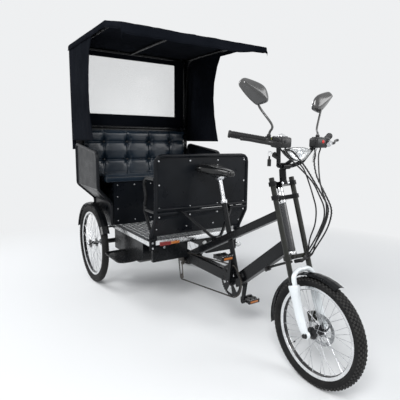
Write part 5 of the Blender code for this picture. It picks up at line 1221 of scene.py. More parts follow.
def treaded_tyre(name, node, body, centre, outer, rim, width, lugs):
    height = outer - rim
    half = [(rim + h * height, w * width / 2) for h, w in TYRE_SECTION]
    fine = smooth_path([(r, y, 0.0) for r, y in half] + [(r, -y, 0.0) for r, y in reversed(half[:-1])], 2)
    mesh = lathe(name, [(p.x, p.y) for p in fine], centre, closed=True, steps=112)
    made = shown(name, mesh, body, TYRE)
    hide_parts(node)
    places = []
    for h, w, stagger in LUG_ROWS:
        for side in ((1.0, -1.0) if w > 0.0 else (1.0,)):
            lean = math.atan2(w * width / 2, (h - 0.45) * height)
            for k in range(lugs):
                a = 2 * math.pi * (k + stagger) / lugs
                flat = math.cos(lean)
                out = Vector((math.cos(a) * flat, side * math.sin(lean), math.sin(a) * flat))
                run = Vector((-math.sin(a), 0.0, math.cos(a)))
                places.append((turned_point(centre, rim + h * height, side * w * width / 2, a), out, run))
    pitch = 2 * math.pi * outer / lugs
    sizes = lug_sizes(width * 0.155, pitch * 0.56, LUG_HEIGHT)
    shown_copies(LUGS, name + "_lugs", places, sizes, body, LUG_FACE)
    beads = []
    for side in (1.0, -1.0):
        for h, w in ((0.12, 0.60), (0.30, 0.90)):
            spot = (rim + h * height, side * w * width / 2)
            ring = [turned_point(centre, *spot, 2 * math.pi * k / 96) for k in range(96)]
            beads.append(piping("bead", ring, 0.0009, closed=True, sides=1))
    shown_parts(name + "_ribs", beads, body, TYRE)


def spoked_wheel(name, node, body, centre, rim, flange_r, outward):
    """Rim, laced spokes with nipples, valve and hub; a rear wheel also gets its drive shaft and nut."""
    walls = []
    for side in (1.0, -1.0):
        band = [
            (rim + 0.0006, side * 0.0153), (rim - 0.0004, side * 0.0126), (rim - 0.0120, side * 0.0119),
            (rim - 0.0150, side * 0.0112), (rim - 0.0148, side * 0.0131), (rim - 0.0115, side * 0.0146),
        ]
        walls.append(lathe("wall", band, centre, closed=True, steps=112))
    # The barrel between the side walls is made black, so the inside of the rim shows as a dark band between
    # silver edges.
    barrel = [
        (rim - 0.0020, 0.0124), (rim - 0.0070, 0.0100), (rim - 0.0086, 0.0), (rim - 0.0070, -0.0100),
        (rim - 0.0020, -0.0124), (rim - 0.0152, -0.0112), (rim - 0.0180, -0.0080), (rim - 0.0192, 0.0),
        (rim - 0.0180, 0.0080), (rim - 0.0152, 0.0112),
    ]
    mesh = lathe(name + "_barrel", barrel, centre, closed=True, steps=112)
    inner = crisp(shown(name + "_barrel", mesh, body, HUB_BLACK_AND_PIT_SHADE))
    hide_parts(node)
    crisp(shown_parts(name + "_side_walls", walls, body, MACHINED))
    spokes = []
    nipples = []
    lean = math.radians(LACE_ANGLE)
    flange_y = HALF_HUB * 0.62
    for k in range(SPOKES):
        side = 1.0 if k % 2 == 0 else -1.0
        lead = 1.0 if (k // 2) % 2 == 0 else -1.0
        at_rim = 2 * math.pi * k / SPOKES
        at_hub = at_rim + lead * lean
        start = turned_point(centre, flange_r * 0.86, side * flange_y + lead * 0.0028, at_hub)
        end = turned_point(centre, rim - 0.0172, side * 0.0040 + lead * 0.0012, at_rim)
        run = end - start
        spokes.append((start, run.normalized(), Vector((run.length, 0.0, 0.0))))
        nipples.append((end - run.normalized() * 0.013, run.normalized(), Vector((0.014, 0.0, 0.0))))
        elbow = Vector((0.0, -lead, 0.0))
        spokes.append((start, elbow, Vector((0.0046, 0.0, 0.0))))
    shown_copies(RODS, name + "_spokes", spokes, {"Rod radius": SPOKE_R}, body, SPOKE)
    shown_copies(RODS, name + "_nipples", nipples, {"Rod radius": NIPPLE_R}, body, STEEL)
    valve_at = 2 * math.pi * 0.5 / SPOKES + math.radians(215.0)
    foot = turned_point(centre, rim - 0.018, 0.0, valve_at)
    inward = (centre - foot).normalized()
    stem = [(foot, inward, Vector((0.026, 0.0, 0.0)))]
    cap = [(foot + inward * 0.026, inward, Vector((0.010, 0.0, 0.0)))]
    kinds = (("_valve", stem, VALVE_R, STEEL), ("_valve_cap", cap, VALVE_CAP_R, GRIP))
    for part, places, radius, look in kinds:
        mesh = grown(RODS, name + part, places, {"Rod radius": radius}, look)
        shown(name + part, mesh, body, look)
    profile = []
    for side in (1.0, -1.0):
        half = [
            (0.0078, HALF_HUB), (0.0150, HALF_HUB), (0.0165, HALF_HUB * 0.90), (0.0185, HALF_HUB * 0.80),
            (flange_r, HALF_HUB * 0.70), (flange_r + 0.0012, HALF_HUB * 0.64), (flange_r, HALF_HUB * 0.56),
            (0.0190, HALF_HUB * 0.46), (0.0150, HALF_HUB * 0.30), (0.0142, 0.0),
        ]
        part = [(r, side * y) for r, y in half]
        profile.extend(part if side > 0.0 else list(reversed(part))[1:])
    mesh = lathe(name + "_hub", profile, centre, closed=True, steps=48)
    crisp(shown(name + "_hub", mesh, body, HUB_BLACK_AND_PIT_SHADE))
    if outward:
        shaft = Vector((centre.x, outward * SHAFT_END_Y, centre.z))
        run = shaft - (centre - Vector((0.0, outward * HALF_HUB * 0.9, 0.0)))
        length = run.length
        rod = [(0.0, 0.0), (SHAFT_R, 0.0), (SHAFT_R, length), (0.0, length)]
        bar = lathe(name + "_shaft", rod, shaft - run, run, steps=32)
        crisp(shown(name + "_shaft", bar, body, STEEL))
        face = centre + Vector((0.0, outward * HALF_HUB, 0.0))
        nut = [(face, Vector((0.0, outward, 0.0)), AHEAD)]
        sizes = hex_sizes(0.0100, 0.0090, 0.0150, 0.0020)
        shown_copies(BOLTS, name + "_nut", nut, sizes, body, STEEL)


def brake_disc():
    centre = FRONT_HUB
    y = DISC_Y

    def track(u, v):
        return turned_point(centre, DISC_R[0] + (DISC_R[1] - DISC_R[0]) * v, y - 0.0010, 2 * math.pi * u)

    def keep(i, j):
        """Slanted rows of holes through the track."""
        return not (1 <= j <= 6 and (i - j) % 8 == 0)

    ring = grid_mesh("track", 160, 8, track, keep)
    bm = bmesh.new()
    bm.from_mesh(ring)
    bmesh.ops.remove_doubles(bm, verts=bm.verts, dist=0.00001)
    bmesh.ops.recalc_face_normals(bm, faces=bm.faces)
    bm.to_mesh(ring)
    bm.free()
    parts = [thick(ring, "track", 0.0020, 0.0)]
    for k in range(DISC_ARMS):
        a = 2 * math.pi * k / DISC_ARMS + 0.2
        left = []
        right = []
        for s, r, w in DISC_ARM:
            spread = w / r
            left.append((r * math.cos(a + s + spread), r * math.sin(a + s + spread)))
            right.append((r * math.cos(a + s - spread), r * math.sin(a + s - spread)))
        outline = left + list(reversed(right))
        parts.append(slab("arm", outline, centre + LEFT * y, AHEAD, UP, 0.0018))
    collar = [(0.0165, y - 0.0022), (0.0260, y - 0.0022), (0.0260, y + 0.0004), (0.0165, y + 0.0004)]
    parts.append(lathe("collar", collar, centre, closed=True, steps=48))
    crisp(shown_parts("front_brake_disc", parts, "front_wheel_body", DISC))
    heads = []
    for k in range(DISC_ARMS):
        a = 2 * math.pi * k / DISC_ARMS
        heads.append((turned_point(centre, SCREW_CIRCLE, y + 0.0004, a), LEFT, AHEAD))
    sizes = dome_sizes(0.0032, 0.0018)
    shown_copies(DOMES, "front_disc_screws", heads, sizes, "front_wheel_body", STEEL)


spoked_wheel("front_rim", "front_wheel", "front_wheel_body", FRONT_HUB, FRONT_RIM_R, 0.030, 0.0)
brake_disc()
treaded_tyre(
    "front_tyre_cover", "front_tyre", "front_wheel_body", FRONT_HUB,
    outer=FRONT_TYRE_R, rim=FRONT_RIM_R, width=0.056, lugs=76,
)
for side_name, side in (("left", 1.0), ("right", -1.0)):
    hub = at(0.0, side * REAR_HUB_Y, REAR_TYRE_R)
    body = "rear_wheel_" + side_name + "_body"
    spoked_wheel("rear_rim_" + side_name, "rear_wheel_" + side_name, body, hub, REAR_RIM_R, 0.036, side)
    treaded_tyre(
        "rear_tyre_cover_" + side_name, "rear_tyre_" + side_name, body, hub,
        outer=REAR_TYRE_R, rim=REAR_RIM_R, width=0.050, lugs=92,
    )


# Saddle
POST_HEAD = (1.1888, 0.0, 0.9623)
SADDLE_STATIONS = (
    (0.133, 0.020, 0.048, 0.034), (0.122, 0.028, 0.054, 0.046), (0.070, 0.034, 0.062, 0.056),
    (0.006, 0.049, 0.067, 0.056), (-0.044, 0.079, 0.074, 0.060), (-0.088, 0.103, 0.083, 0.064),
    (-0.132, 0.107, 0.085, 0.068), (-0.148, 0.098, 0.080, 0.058),
)
SADDLE_RING = (
    (-1.00, 0.52), (-0.93, 0.27), (-0.72, 0.06), (-0.34, 0.00), (0.00, 0.05), (0.34, 0.00), (0.72, 0.06),
    (0.93, 0.27), (1.00, 0.52), (0.82, 0.95), (0.00, 0.80), (-0.82, 0.95),
)
SADDLE_RAIL = (
    (0.104, 0.010, 0.026), (0.066, 0.017, 0.014), (0.030, 0.0275, 0.006), (-0.030, 0.0275, 0.006),
    (-0.078, 0.034, 0.016), (-0.108, 0.040, 0.032),
)


def lofted(name, rings, levels=2):
    """Closed skin through rings of points, rounded by subdivision."""
    bm = bmesh.new()
    made = [[bm.verts.new(p) for p in ring] for ring in rings]
    count = len(rings[0])
    for a, b in zip(made, made[1:]):
        for k in range(count):
            n = (k + 1) % count
            bm.faces.new((a[k], a[n], b[n], b[k]))
    bm.faces.new(list(reversed(made[0])))
    bm.faces.new(made[-1])
    bmesh.ops.recalc_face_normals(bm, faces=bm.faces)
    mesh = mesh_from(name, bm)
    if levels == 0:
        return mesh
    shape = helper(name, mesh)
    smooth = shape.modifiers.new("Subdivision", "SUBSURF")
    smooth.levels = levels
    smooth.render_levels = levels
    return settled(shape, name)


def saddle_spot(station, point):
    ahead, half, top, depth = station
    return at(POST_HEAD[0] + ahead, half * point[0], POST_HEAD[2] + top - depth * point[1])


def saddle_cover():
    rings = [[saddle_spot(station, point) for point in SADDLE_RING] for station in SADDLE_STATIONS]
    cover = shown("saddle_cover", lofted("saddle_cover", rings, 3), ROOT, SEAT_VINYL)
    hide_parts("saddle")
    seams = []
    for side in (1.0, -1.0):
        line = smooth_path([saddle_spot(s, (side * 0.955, 0.60)) for s in SADDLE_STATIONS[1:]])
        seams.append(piping("seam", line, 0.0022))
    shown_parts("saddle_seams", seams, ROOT, SEAT_VINYL)
    rails = []
    for side in (1.0, -1.0):
        spots = [at(POST_HEAD[0] + a, side * y, POST_HEAD[2] + z) for a, y, z in SADDLE_RAIL]
        rails.append(piping("rail", smooth_path(spots, 6), 0.0034))
    shown_parts("saddle_rails", rails, ROOT, CHROME)


saddle_cover()


# Cables gathered from the controls into a sleeve under the lower crown
STEER_FOOT = Vector((1.9622, 0.0, 0.2528))
STEER_AHEAD = Vector((0.9455, 0.0, 0.3256))
STEER_UP = Vector((-0.3256, 0.0, 0.9455))
SWITCH_SPOT = (1.862, 0.122, 1.190)
UNDER_SWITCH = 1.1667


def steer(f, y, t):
    """A point measured from the steering axis: ahead of it, across and up along it."""
    spot = STEER_FOOT + STEER_AHEAD * f + STEER_UP * t
    return at(spot.x, y, spot.z)


ROUTES = (
    ((1.872, -0.110, UNDER_SWITCH), (
        (0.232, -0.092, 0.868), (0.225, -0.046, 0.828), (0.224, -0.012, 0.781), (0.227, 0.016, 0.722),
        (0.243, 0.035, 0.644), (0.254, 0.044, 0.586), (0.235, 0.044, 0.536), (0.192, 0.050, 0.488),
        (0.130, 0.052, 0.430), (0.070, 0.046, 0.374),
    )),
    ((1.854, -0.124, UNDER_SWITCH), (
        (0.203, -0.104, 0.852), (0.213, -0.063, 0.808), (0.215, 0.017, 0.722), (0.226, 0.035, 0.647),
        (0.227, 0.048, 0.590), (0.204, 0.059, 0.539), (0.166, 0.058, 0.490), (0.111, 0.061, 0.437),
        (0.060, 0.042, 0.380),
    )),
    ((1.860, 0.106, UNDER_SWITCH), (
        (0.200, 0.098, 0.856), (0.206, 0.072, 0.819), (0.216, 0.058, 0.743), (0.246, 0.056, 0.644),
        (0.250, 0.069, 0.579), (0.227, 0.076, 0.529), (0.183, 0.079, 0.476), (0.127, 0.071, 0.421),
        (0.074, 0.053, 0.368),
    )),
    ((1.868, 0.138, UNDER_SWITCH), (
        (0.191, 0.130, 0.850), (0.191, 0.105, 0.747), (0.204, 0.087, 0.677), (0.208, 0.092, 0.610),
        (0.186, 0.098, 0.548), (0.145, 0.094, 0.489), (0.100, 0.080, 0.425), (0.080, 0.064, 0.374),
    )),
    ((1.846, 0.010, 1.0994), (
        (0.170, 0.030, 0.792), (0.163, 0.053, 0.727), (0.171, 0.053, 0.658), (0.164, 0.063, 0.591),
        (0.134, 0.067, 0.519), (0.091, 0.059, 0.454), (0.066, 0.050, 0.392),
    )),
)
SLEEVE_IN = (0.044, 0.0205, 0.3515)
SLEEVE_OUT = (0.010, 0.0, 0.3500)
STRAND_R = 0.0037
STRAND_SPREAD = 0.0050
WRAPPED = (0, 2)
WRAP_SHARE = (0.10, 0.62)
WRAP_REACH = 0.0046
WRAP_R = 0.0011
WRAP_TURNS = 0.55


def gathered_cables():
    strands = []
    wraps = []
    mouth = steer(*SLEEVE_IN)
    run = (steer(*SLEEVE_OUT) - mouth).normalized()
    length = (steer(*SLEEVE_OUT) - mouth).length
    side = UP.cross(run).normalized()
    high = run.cross(side).normalized()
    for number, (start, route) in enumerate(ROUTES):
        turn = math.radians(72.0 * number + 18.0)
        shift = (side * math.cos(turn) + high * math.sin(turn)) * STRAND_SPREAD
        top = at(*start)
        points = [top + Vector((0.0, 0.0, 0.003)), top - Vector((0.0, 0.0, 0.008))]
        points.extend(steer(*p) for p in route)
        points.append(mouth - run * 0.004 + shift)
        points.append(mouth + run * 0.012 + shift)
        line = smooth_path(points, 7)
        strands.append(piping("strand", line, STRAND_R))
        if number in WRAPPED:
            helix = []
            first, last = (int(len(line) * share) for share in WRAP_SHARE)
            part = line[first:last]
            for index, (p, q) in enumerate(zip(part, part[1:])):
                ahead = (q - p).normalized()
                across = ahead.orthogonal().normalized()
                over = ahead.cross(across)
                for step in range(3):
                    a = 2 * math.pi * (index + step / 3) * WRAP_TURNS
                    out = across * math.cos(a) + over * math.sin(a)
                    helix.append(p + (q - p) * step / 3 + out * WRAP_REACH)
            wraps.append(piping("wrap", helix, WRAP_R, sides=1))
    bundle = shown_parts("cable_bundle", strands, "steering", CABLE)
    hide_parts("steering_cables")
    shown_parts("cable_wraps", wraps, "steering", PLASTIC)
    profile = [
        (0.0, 0.0), (0.0088, 0.0), (0.0102, 0.004), (0.0096, 0.008), (0.0096, length - 0.004),
        (0.0086, length), (0.0, length),
    ]
    shown("cable_sleeve", lathe("cable_sleeve", profile, mouth, run, steps=28), "steering", PLASTIC)
    joint = [
        at(1.812, 0.185, 1.178), at(1.806, 0.182, 1.160), at(1.800, 0.172, 1.128), at(1.812, 0.152, 1.090),
    ]
    shown("cable_joint", piping("joint", smooth_path(joint, 6), 0.0050), "steering", PALE_PLASTIC)


gathered_cables()


# Grips, controls, bell, lamp, mirrors and ignition lock
BAR_R = 0.011
GRIP_R = 0.0150
GRIP_RIB_R = 0.0168
GRIP_RIBS = 20


def bar_line(side):
    """Inner and outer end of the handlebar's grip part, and its direction."""
    inner = at(1.864, side * 0.163, 1.192)
    outer = at(1.745, side * 0.352, 1.228)
    return inner, outer, (outer - inner).normalized()


def ribbed_grip(side_name, side):
    inner, outer, along = bar_line(side)
    low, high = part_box("grip_" + side_name)
    reach = abs(along.y)
    first = (min(abs(low[1]), abs(high[1])) - abs(inner.y)) / reach
    length = (outer - inner).length + 0.003 - first
    profile = [(0.0, 0.0), (0.0140, 0.0), (0.0182, 0.001), (0.0186, 0.006), (GRIP_R, 0.009)]
    start = 0.012
    step = (length - start - 0.016) / GRIP_RIBS
    for k in range(GRIP_RIBS):
        base = start + k * step
        profile.extend([
            (GRIP_R, base), (GRIP_RIB_R, base + step * 0.18), (GRIP_RIB_R, base + step * 0.68),
            (GRIP_R, base + step * 0.86),
        ])
    profile.extend([
        (GRIP_R, length - 0.013), (0.0176, length - 0.011), (0.0178, length - 0.003), (GRIP_R, length),
        (0.0, length),
    ])
    mesh = lathe("grip_" + side_name, profile, inner + along * first, along, steps=40)
    made = crisp(shown("grip_cover_" + side_name, mesh, "steering", GRIP), 50.0)
    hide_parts("grip_" + side_name)


def turned_block(name, centre, axes, size, edge):
    """Rounded block with its sides along three given axes."""
    half = Vector(size) / 2
    mesh = block_mesh(name, -half, half, edge, 3)
    turn = Matrix(axes).transposed().to_4x4()
    if turn.determinant() < 0.0:
        turn = Matrix((axes[0], axes[1], -Vector(axes[2]))).transposed().to_4x4()
    mesh.transform(Matrix.Translation(centre) @ turn)
    return mesh


def ball(name, centre, radius, stretch=(1.0, 1.0, 1.0)):
    bm = bmesh.new()
    bmesh.ops.create_uvsphere(bm, u_segments=20, v_segments=12, radius=radius)
    bmesh.ops.scale(bm, vec=stretch, verts=bm.verts)
    bmesh.ops.translate(bm, vec=centre, verts=bm.verts)
    return mesh_from(name, bm)


LEVER = ((0.034, -0.004), (0.048, 0.030), (0.044, 0.090), (0.052, 0.130))


def hand_control(side_name, side):
    inner, _, along = bar_line(side)
    ahead = Vector((0.92, 0.0, -0.30)).normalized()
    ahead = (ahead - along * ahead.dot(along)).normalized()
    up = ahead.cross(along) * side
    base = inner + along * 0.040
    bore = BAR_R + 0.0002
    clamp = [
        (bore, -0.013), (0.0185, -0.013), (0.0195, -0.010), (0.0195, 0.010), (0.0185, 0.013), (bore, 0.013),
    ]
    axes = (along, ahead, up)
    pod_top = inner + along * 0.010 + ahead * 0.010 + up * 0.020
    dark = [
        lathe("clamp", clamp, base, along, steps=32, closed=True),
        turned_block("pod", inner + along * 0.006 + ahead * 0.004, axes, (0.040, 0.040, 0.046), 0.008),
        turned_block("pod_top", pod_top, axes, (0.026, 0.026, 0.014), 0.004),
        turned_block("perch", base + ahead * 0.021, axes, (0.036, 0.026, 0.020), 0.005),
    ]
    box_at = at(SWITCH_SPOT[0], side * SWITCH_SPOT[1], SWITCH_SPOT[2])
    level = (LEFT, AHEAD, UP)
    dark.append(turned_block("switch", box_at, level, (0.074, 0.054, 0.050), 0.010))
    cap_at = box_at + Vector((-0.004, 0.0, 0.024))
    dark.append(turned_block("switch_cap", cap_at, level, (0.050, 0.034, 0.012), 0.005))
    name = "control_" + side_name
    made = crisp(shown_parts(name + "_body", dark, "steering", PLASTIC), 40.0)
    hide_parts(name)
    start = base - along * 0.056 + ahead * 0.029
    run = (base + along * 0.012 + ahead * 0.031) - start
    length = run.length
    barrel = [
        (0.0, 0.0), (0.0095, 0.0), (0.0120, 0.003), (0.0120, 0.012), (0.0102, 0.014), (0.0102, 0.020),
        (0.0124, 0.022), (0.0124, length - 0.012), (0.0100, length - 0.008), (0.0, length - 0.008),
    ]
    finish = STEEL if side > 0.0 else PLASTIC
    mesh = lathe("cylinder", barrel, start, run, steps=28)
    crisp(shown(name + "_cylinder", mesh, "steering", finish))
    lever = [base + ahead * a + along * b for a, b in LEVER]
    blades = []
    for shift in (-0.0026, 0.0, 0.0026):
        blades.append(piping("lever", [p + up * shift for p in smooth_path(lever, 8)], 0.0050))
    blades.append(ball("lever_end", lever[-1], 0.0078))
    shown_parts(name + "_lever", blades, "steering", PLASTIC)
    caps = []
    for a, b in ((0.016, 0.011), (-0.012, 0.011), (0.002, -0.008)):
        caps.append(ball("button", box_at + Vector((-0.027, a, b)), 0.0062, (0.7, 1.0, 1.0)))
    front_cap = ball("button", box_at + Vector((0.026, side * 0.010, 0.006)), 0.0085, (0.7, 1.0, 1.0))
    shown_parts(name + "_buttons", caps, "steering", PALE_PLASTIC)
    look = RED_PLASTIC if side > 0.0 else PLASTIC
    shown(name + "_button", front_cap, "steering", look)
    if side < 0.0:
        ring = [(0.0158, -0.002), (0.0192, -0.002), (0.0192, 0.002), (0.0158, 0.002)]
        band = lathe("band", ring, inner + along * 0.030, along, steps=32, closed=True)
        shown("control_band", band, "steering", YELLOW)


BAR_TOP = 1.2133
BELL_FOOT = (1.850, -0.118, BAR_TOP)


def bell():
    profile = [
        (0.0, 0.0), (0.0195, 0.0), (0.0205, 0.0015), (0.0202, 0.004), (0.0180, 0.010), (0.0130, 0.0150),
        (0.0070, 0.0175), (0.0030, 0.0180), (0.0030, 0.0198), (0.0, 0.0200),
    ]
    mesh = lathe("bell_dome", profile, at(*BELL_FOOT), UP, steps=48)
    made = shown("bell_dome", mesh, "steering", CHROME)
    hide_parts("bell")


LAMP_HIGH = 1.135
LAMP_HALF = (
    (0.0, 0.034), (0.030, 0.033), (0.055, 0.031), (0.078, 0.025), (0.089, 0.019), (0.085, 0.010),
    (0.068, -0.006), (0.050, -0.020), (0.034, -0.029), (0.018, -0.034),
)
LAMP_SHELL = (
    (1.800, 0.56), (1.806, 0.72), (1.820, 0.90), (1.846, 1.00), (1.856, 1.00), (1.858, 0.95), (1.848, 0.92),
)
LAMP_COVER = ((1.8590, 0.985), (1.8690, 0.97), (1.8760, 0.84), (1.8790, 0.50))


def lamp_sweep(y):
    """How far the lamp's sides are swept back."""
    return 0.010 * abs(y) / 0.088


def lamp_ring(x, share):
    """The lamp's outline at a share of its size."""
    outline = list(LAMP_HALF) + [(0.0, -0.036)] + [(-y, z) for y, z in reversed(LAMP_HALF[1:])]
    return [at(x - lamp_sweep(y), y * share, LAMP_HIGH + z * share) for y, z in outline]


def head_lamp():
    housing = lofted("lamp_housing", [lamp_ring(x, share) for x, share in LAMP_SHELL], 1)
    made = crisp(shown("lamp_housing", housing, "steering", GLOSS_SHELL), 50.0)
    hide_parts("front_lamp")
    stem = piping("stem", [at(1.772, 0.0, 1.082), at(1.800, 0.0, 1.098), at(1.826, 0.0, 1.118)], 0.0095)
    shown("lamp_stem", stem, "steering", POWDER)
    bowl = lofted("lamp_bowl", [lamp_ring(1.8585, 0.93), lamp_ring(1.8600, 0.90), lamp_ring(1.8610, 0.60)], 1)
    crisp(shown("lamp_bowl", bowl, "steering", CHROME))
    ribs = []
    for k in range(-7, 8):
        if abs(k) < 2:
            continue
        y = k * 0.0105
        top = 0.028 - abs(y) * 0.12
        low = -0.026 + abs(y) * 0.42
        if top - low > 0.006:
            x = 1.8630 - lamp_sweep(y)
            ribs.append(
                piping("rib", [at(x, y, LAMP_HIGH + low), at(x, y, LAMP_HIGH + top)], 0.0016, sides=1)
            )
    shown_parts("lamp_ribs", ribs, "steering", CHROME)
    centre = at(1.8600, 0.0, LAMP_HIGH + 0.002)
    edge = [(0.0165, 0.0), (0.0215, 0.0), (0.0215, 0.007), (0.0185, 0.009), (0.0165, 0.006)]
    rim = lathe("lamp_rim", edge, centre, AHEAD, steps=48, closed=True)
    crisp(shown("lamp_rim", rim, "steering", CHROME))
    dome = [(0.0, 0.002), (0.0165, 0.002), (0.0165, 0.005), (0.0120, 0.0095), (0.0060, 0.0120), (0.0, 0.0125)]
    eye = lathe("lamp_eye", dome, centre, AHEAD, steps=40)
    shown("lamp_eye", eye, "steering", MIRROR_GLASS)
    cover = lofted("lamp_glass", [lamp_ring(x, share) for x, share in LAMP_COVER], 1)
    shown("lamp_glass", cover, "steering", FILM)


MIRROR_EDGE = (
    (0.072, 0.037), (0.055, 0.054), (0.027, 0.052), (-0.045, 0.029), (-0.070, -0.007), (-0.075, -0.037),
    (-0.064, -0.050), (-0.031, -0.060), (-0.012, -0.059), (0.031, -0.026), (0.070, 0.016),
)
MIRROR_BACKS = (
    (-0.0040, 0.95), (-0.0010, 0.99), (0.0060, 1.00), (0.0100, 0.93), (0.0180, 0.62), (0.0260, 0.26),
    (0.0285, 0.10),
)
RIDGE = (0.118, 0.070)
RIDGE_REACH = 0.92


def mirror(side_name, side, toe, head, stalk):
    glass = Vector((-0.97, side * -toe, 0.05)).normalized()
    across = UP.cross(glass).normalized() * -side
    tall = (UP - glass * UP.dot(glass)).normalized()
    head = at(*head)
    outline = [(p.x, p.y) for p in smooth_path([(u, v, 0.0) for u, v in MIRROR_EDGE], 3, closed=True)]

    def ring(back, share):
        """The outline drawn in towards its ridge, some way behind the glass."""
        points = []
        for u, v in outline:
            s = unit(0.5 + (u * RIDGE[0] + v * RIDGE[1]) / (RIDGE[0] ** 2 + RIDGE[1] ** 2))
            a = u * share + RIDGE[0] * (s - 0.5) * RIDGE_REACH * (1.0 - share)
            b = v * share + RIDGE[1] * (s - 0.5) * RIDGE_REACH * (1.0 - share)
            points.append(head - glass * back + across * a + tall * b)
        return points

    name = "mirror_" + side_name
    shell = lofted("shell", [ring(b, s) for b, s in MIRROR_BACKS], 1)
    made = shown(name + "_shell", shell, "steering", GLOSS_SHELL)
    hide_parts(name)
    pane = lofted("pane", [ring(-0.0042, 0.915), ring(-0.0056, 0.905)], 0)
    crisp(shown(name + "_glass", pane, "steering", MIRROR_GLASS))
    line = smooth_path([at(*p) for p in stalk], 8)
    shown(name + "_stalk", piping("stalk", line, 0.0056), "steering", GLOSS_SHELL)
    foot = line[0]
    rise = (line[3] - line[0]).normalized()
    nut = [
        (0.0, 0.0), (0.0125, 0.0), (0.0125, 0.006), (0.0098, 0.008), (0.0098, 0.016), (0.0072, 0.019),
        (0.0, 0.019),
    ]
    top = (line[-1] - line[-5]).normalized()
    boot = [(0.0, 0.0), (0.0068, 0.0), (0.0084, 0.008), (0.0098, 0.020), (0.0118, 0.030), (0.0, 0.034)]
    parts = [
        lathe("nut", nut, foot, rise, steps=24), lathe("boot", boot, line[-1] - top * 0.026, top, steps=24),
    ]
    crisp(shown_parts(name + "_boot", parts, "steering", GRIP), 45.0)


def ignition_lock():
    centre = at(1.800, -0.106, 1.128)
    axis = Vector((-0.80, -0.20, 0.42)).normalized()
    barrel = [
        (0.0, -0.020), (0.0130, -0.020), (0.0140, -0.017), (0.0140, 0.010), (0.0118, 0.012), (0.0, 0.012),
    ]
    arm = piping("arm", [at(1.820, -0.100, 1.134), at(1.806, -0.104, 1.130)], 0.0085)
    parts = [lathe("barrel", barrel, centre, axis, steps=32), arm]
    crisp(shown_parts("ignition_lock", parts, "steering", PLASTIC))
    face = lathe(
        "face", [(0.0, 0.0122), (0.0100, 0.0122), (0.0100, 0.0138), (0.0, 0.0142)], centre, axis, steps=32,
    )
    crisp(shown("ignition_face", face, "steering", CHROME))
    tip = centre + axis * 0.014
    outline = [
        (-0.0035, 0.0), (0.0035, 0.0), (0.0090, 0.012), (0.0090, 0.026), (-0.0090, 0.026), (-0.0090, 0.012),
    ]
    blade = slab("blade", outline, tip, axis.cross(UP), axis, 0.0022)
    hoop_at = tip + axis * 0.024 + Vector((0.0, 0.0, -0.010))
    around = [2 * math.pi * k / 24 for k in range(24)]
    hoop = [hoop_at + Vector((0.010 * math.cos(a), 0.0, 0.011 * math.sin(a))) for a in around]
    ring = piping("hoop", hoop, 0.0009, closed=True, sides=1)
    shown_parts("key", [blade, ring], "steering", STEEL)
    fob_at = hoop_at + Vector((0.0, 0.0, -0.012))
    across = Vector((0.9, 0.4, 0.0)).normalized()
    outline = [(-0.004, 0.0), (0.004, 0.0), (0.005, -0.016), (-0.005, -0.016)]
    strap = slab("strap", outline, fob_at, across, UP, 0.0020)
    axes = (across, UP.cross(across), UP)
    fob = turned_block("fob", fob_at - UP * 0.033, axes, (0.019, 0.008, 0.036), 0.003)
    crisp(shown_parts("key_fob", [strap, fob], "steering", PLASTIC), 45.0)


for side_name, side in (("left", 1.0), ("right", -1.0)):
    ribbed_grip(side_name, side)
    hand_control(side_name, side)
bell()
head_lamp()
LEFT_STALK = (
    (1.856, 0.126, BAR_TOP), (1.856, 0.126, 1.2373), (1.806, 0.176, 1.268), (1.762, 0.252, 1.368),
    (1.757, 0.262, 1.398),
)
mirror("left", 1.0, 0.06, (1.747, 0.270, 1.412), LEFT_STALK)
RIGHT_INNER, _, RIGHT_ALONG = bar_line(-1.0)
RIGHT_FOOT = RIGHT_INNER + RIGHT_ALONG * 0.040 - Vector((REAR_X, 0.0, 0.0))
RIGHT_STALK = (
    RIGHT_FOOT + Vector((0.0, 0.0, 0.012)), RIGHT_FOOT + Vector((0.012, -0.002, 0.040)),
    (1.874, -0.205, 1.270), (1.824, -0.238, 1.350), (1.822, -0.252, 1.396),
)
mirror("right", -1.0, 0.26, (1.8155, -0.270, 1.4206), RIGHT_STALK)
ignition_lock()
collar = [
    (0.0185, 0.0), (0.0236, 0.0), (0.0244, 0.003), (0.0244, 0.024), (0.0238, 0.025), (0.0244, 0.026),
    (0.0244, 0.048), (0.0236, 0.051), (0.0185, 0.051),
]
collar_mesh = lathe("stem_collar", collar, steer(0.0, 0.0, 0.6885), STEER_UP, steps=48, closed=True)
crisp(shown("stem_collar", collar_mesh, "steering", CHROME))
lug_screws = [(steer(0.0560, y, 0.754), STEER_AHEAD, LEFT) for y in (-0.020, 0.020)]
sizes = hex_sizes(0.0046, 0.0044, 0.0066, 0.0012)
shown_copies(BOLTS, "lug_screws", lug_screws, sizes, "steering", STEEL)


# Fork lowers, head tube with its fluted sleeve and bearing cups
HEAD_FOOT = 0.386
HEAD_LENGTH = 0.286
SLEEVE_R = 0.0230
FLUTED = (0.016, 0.270)
FLUTES = 24
FLUTE_DEPTH = 0.0008
FLUTE_PITCH = 0.40
CUP = (
    (0.0160, 0.0), (0.0262, 0.0), (0.0272, 0.002), (0.0272, 0.012), (0.0262, 0.015), (0.0236, 0.0175),
    (0.0160, 0.0175),
)
LEG_AHEAD = 0.037
LEG_SIDE = 0.071
LEG_TOP = 0.240
ARCH_TOP = 0.3081
LEG_STATIONS = (
    (0.008, 0.0330, 0.0210, 0.004), (0.009, 0.0340, 0.0212, -0.006), (0.009, 0.0315, 0.0205, -0.022),
    (0.007, 0.0265, 0.0190, -0.050), (0.005, 0.0245, 0.0180, -0.090), (0.006, 0.0255, 0.0165, -0.145),
    (0.010, 0.0260, 0.0150, -0.190), (0.015, 0.0225, 0.0120, -0.222), (0.020, 0.0165, 0.0100, -0.244),
    (0.021, 0.0120, 0.0080, -0.249),
)


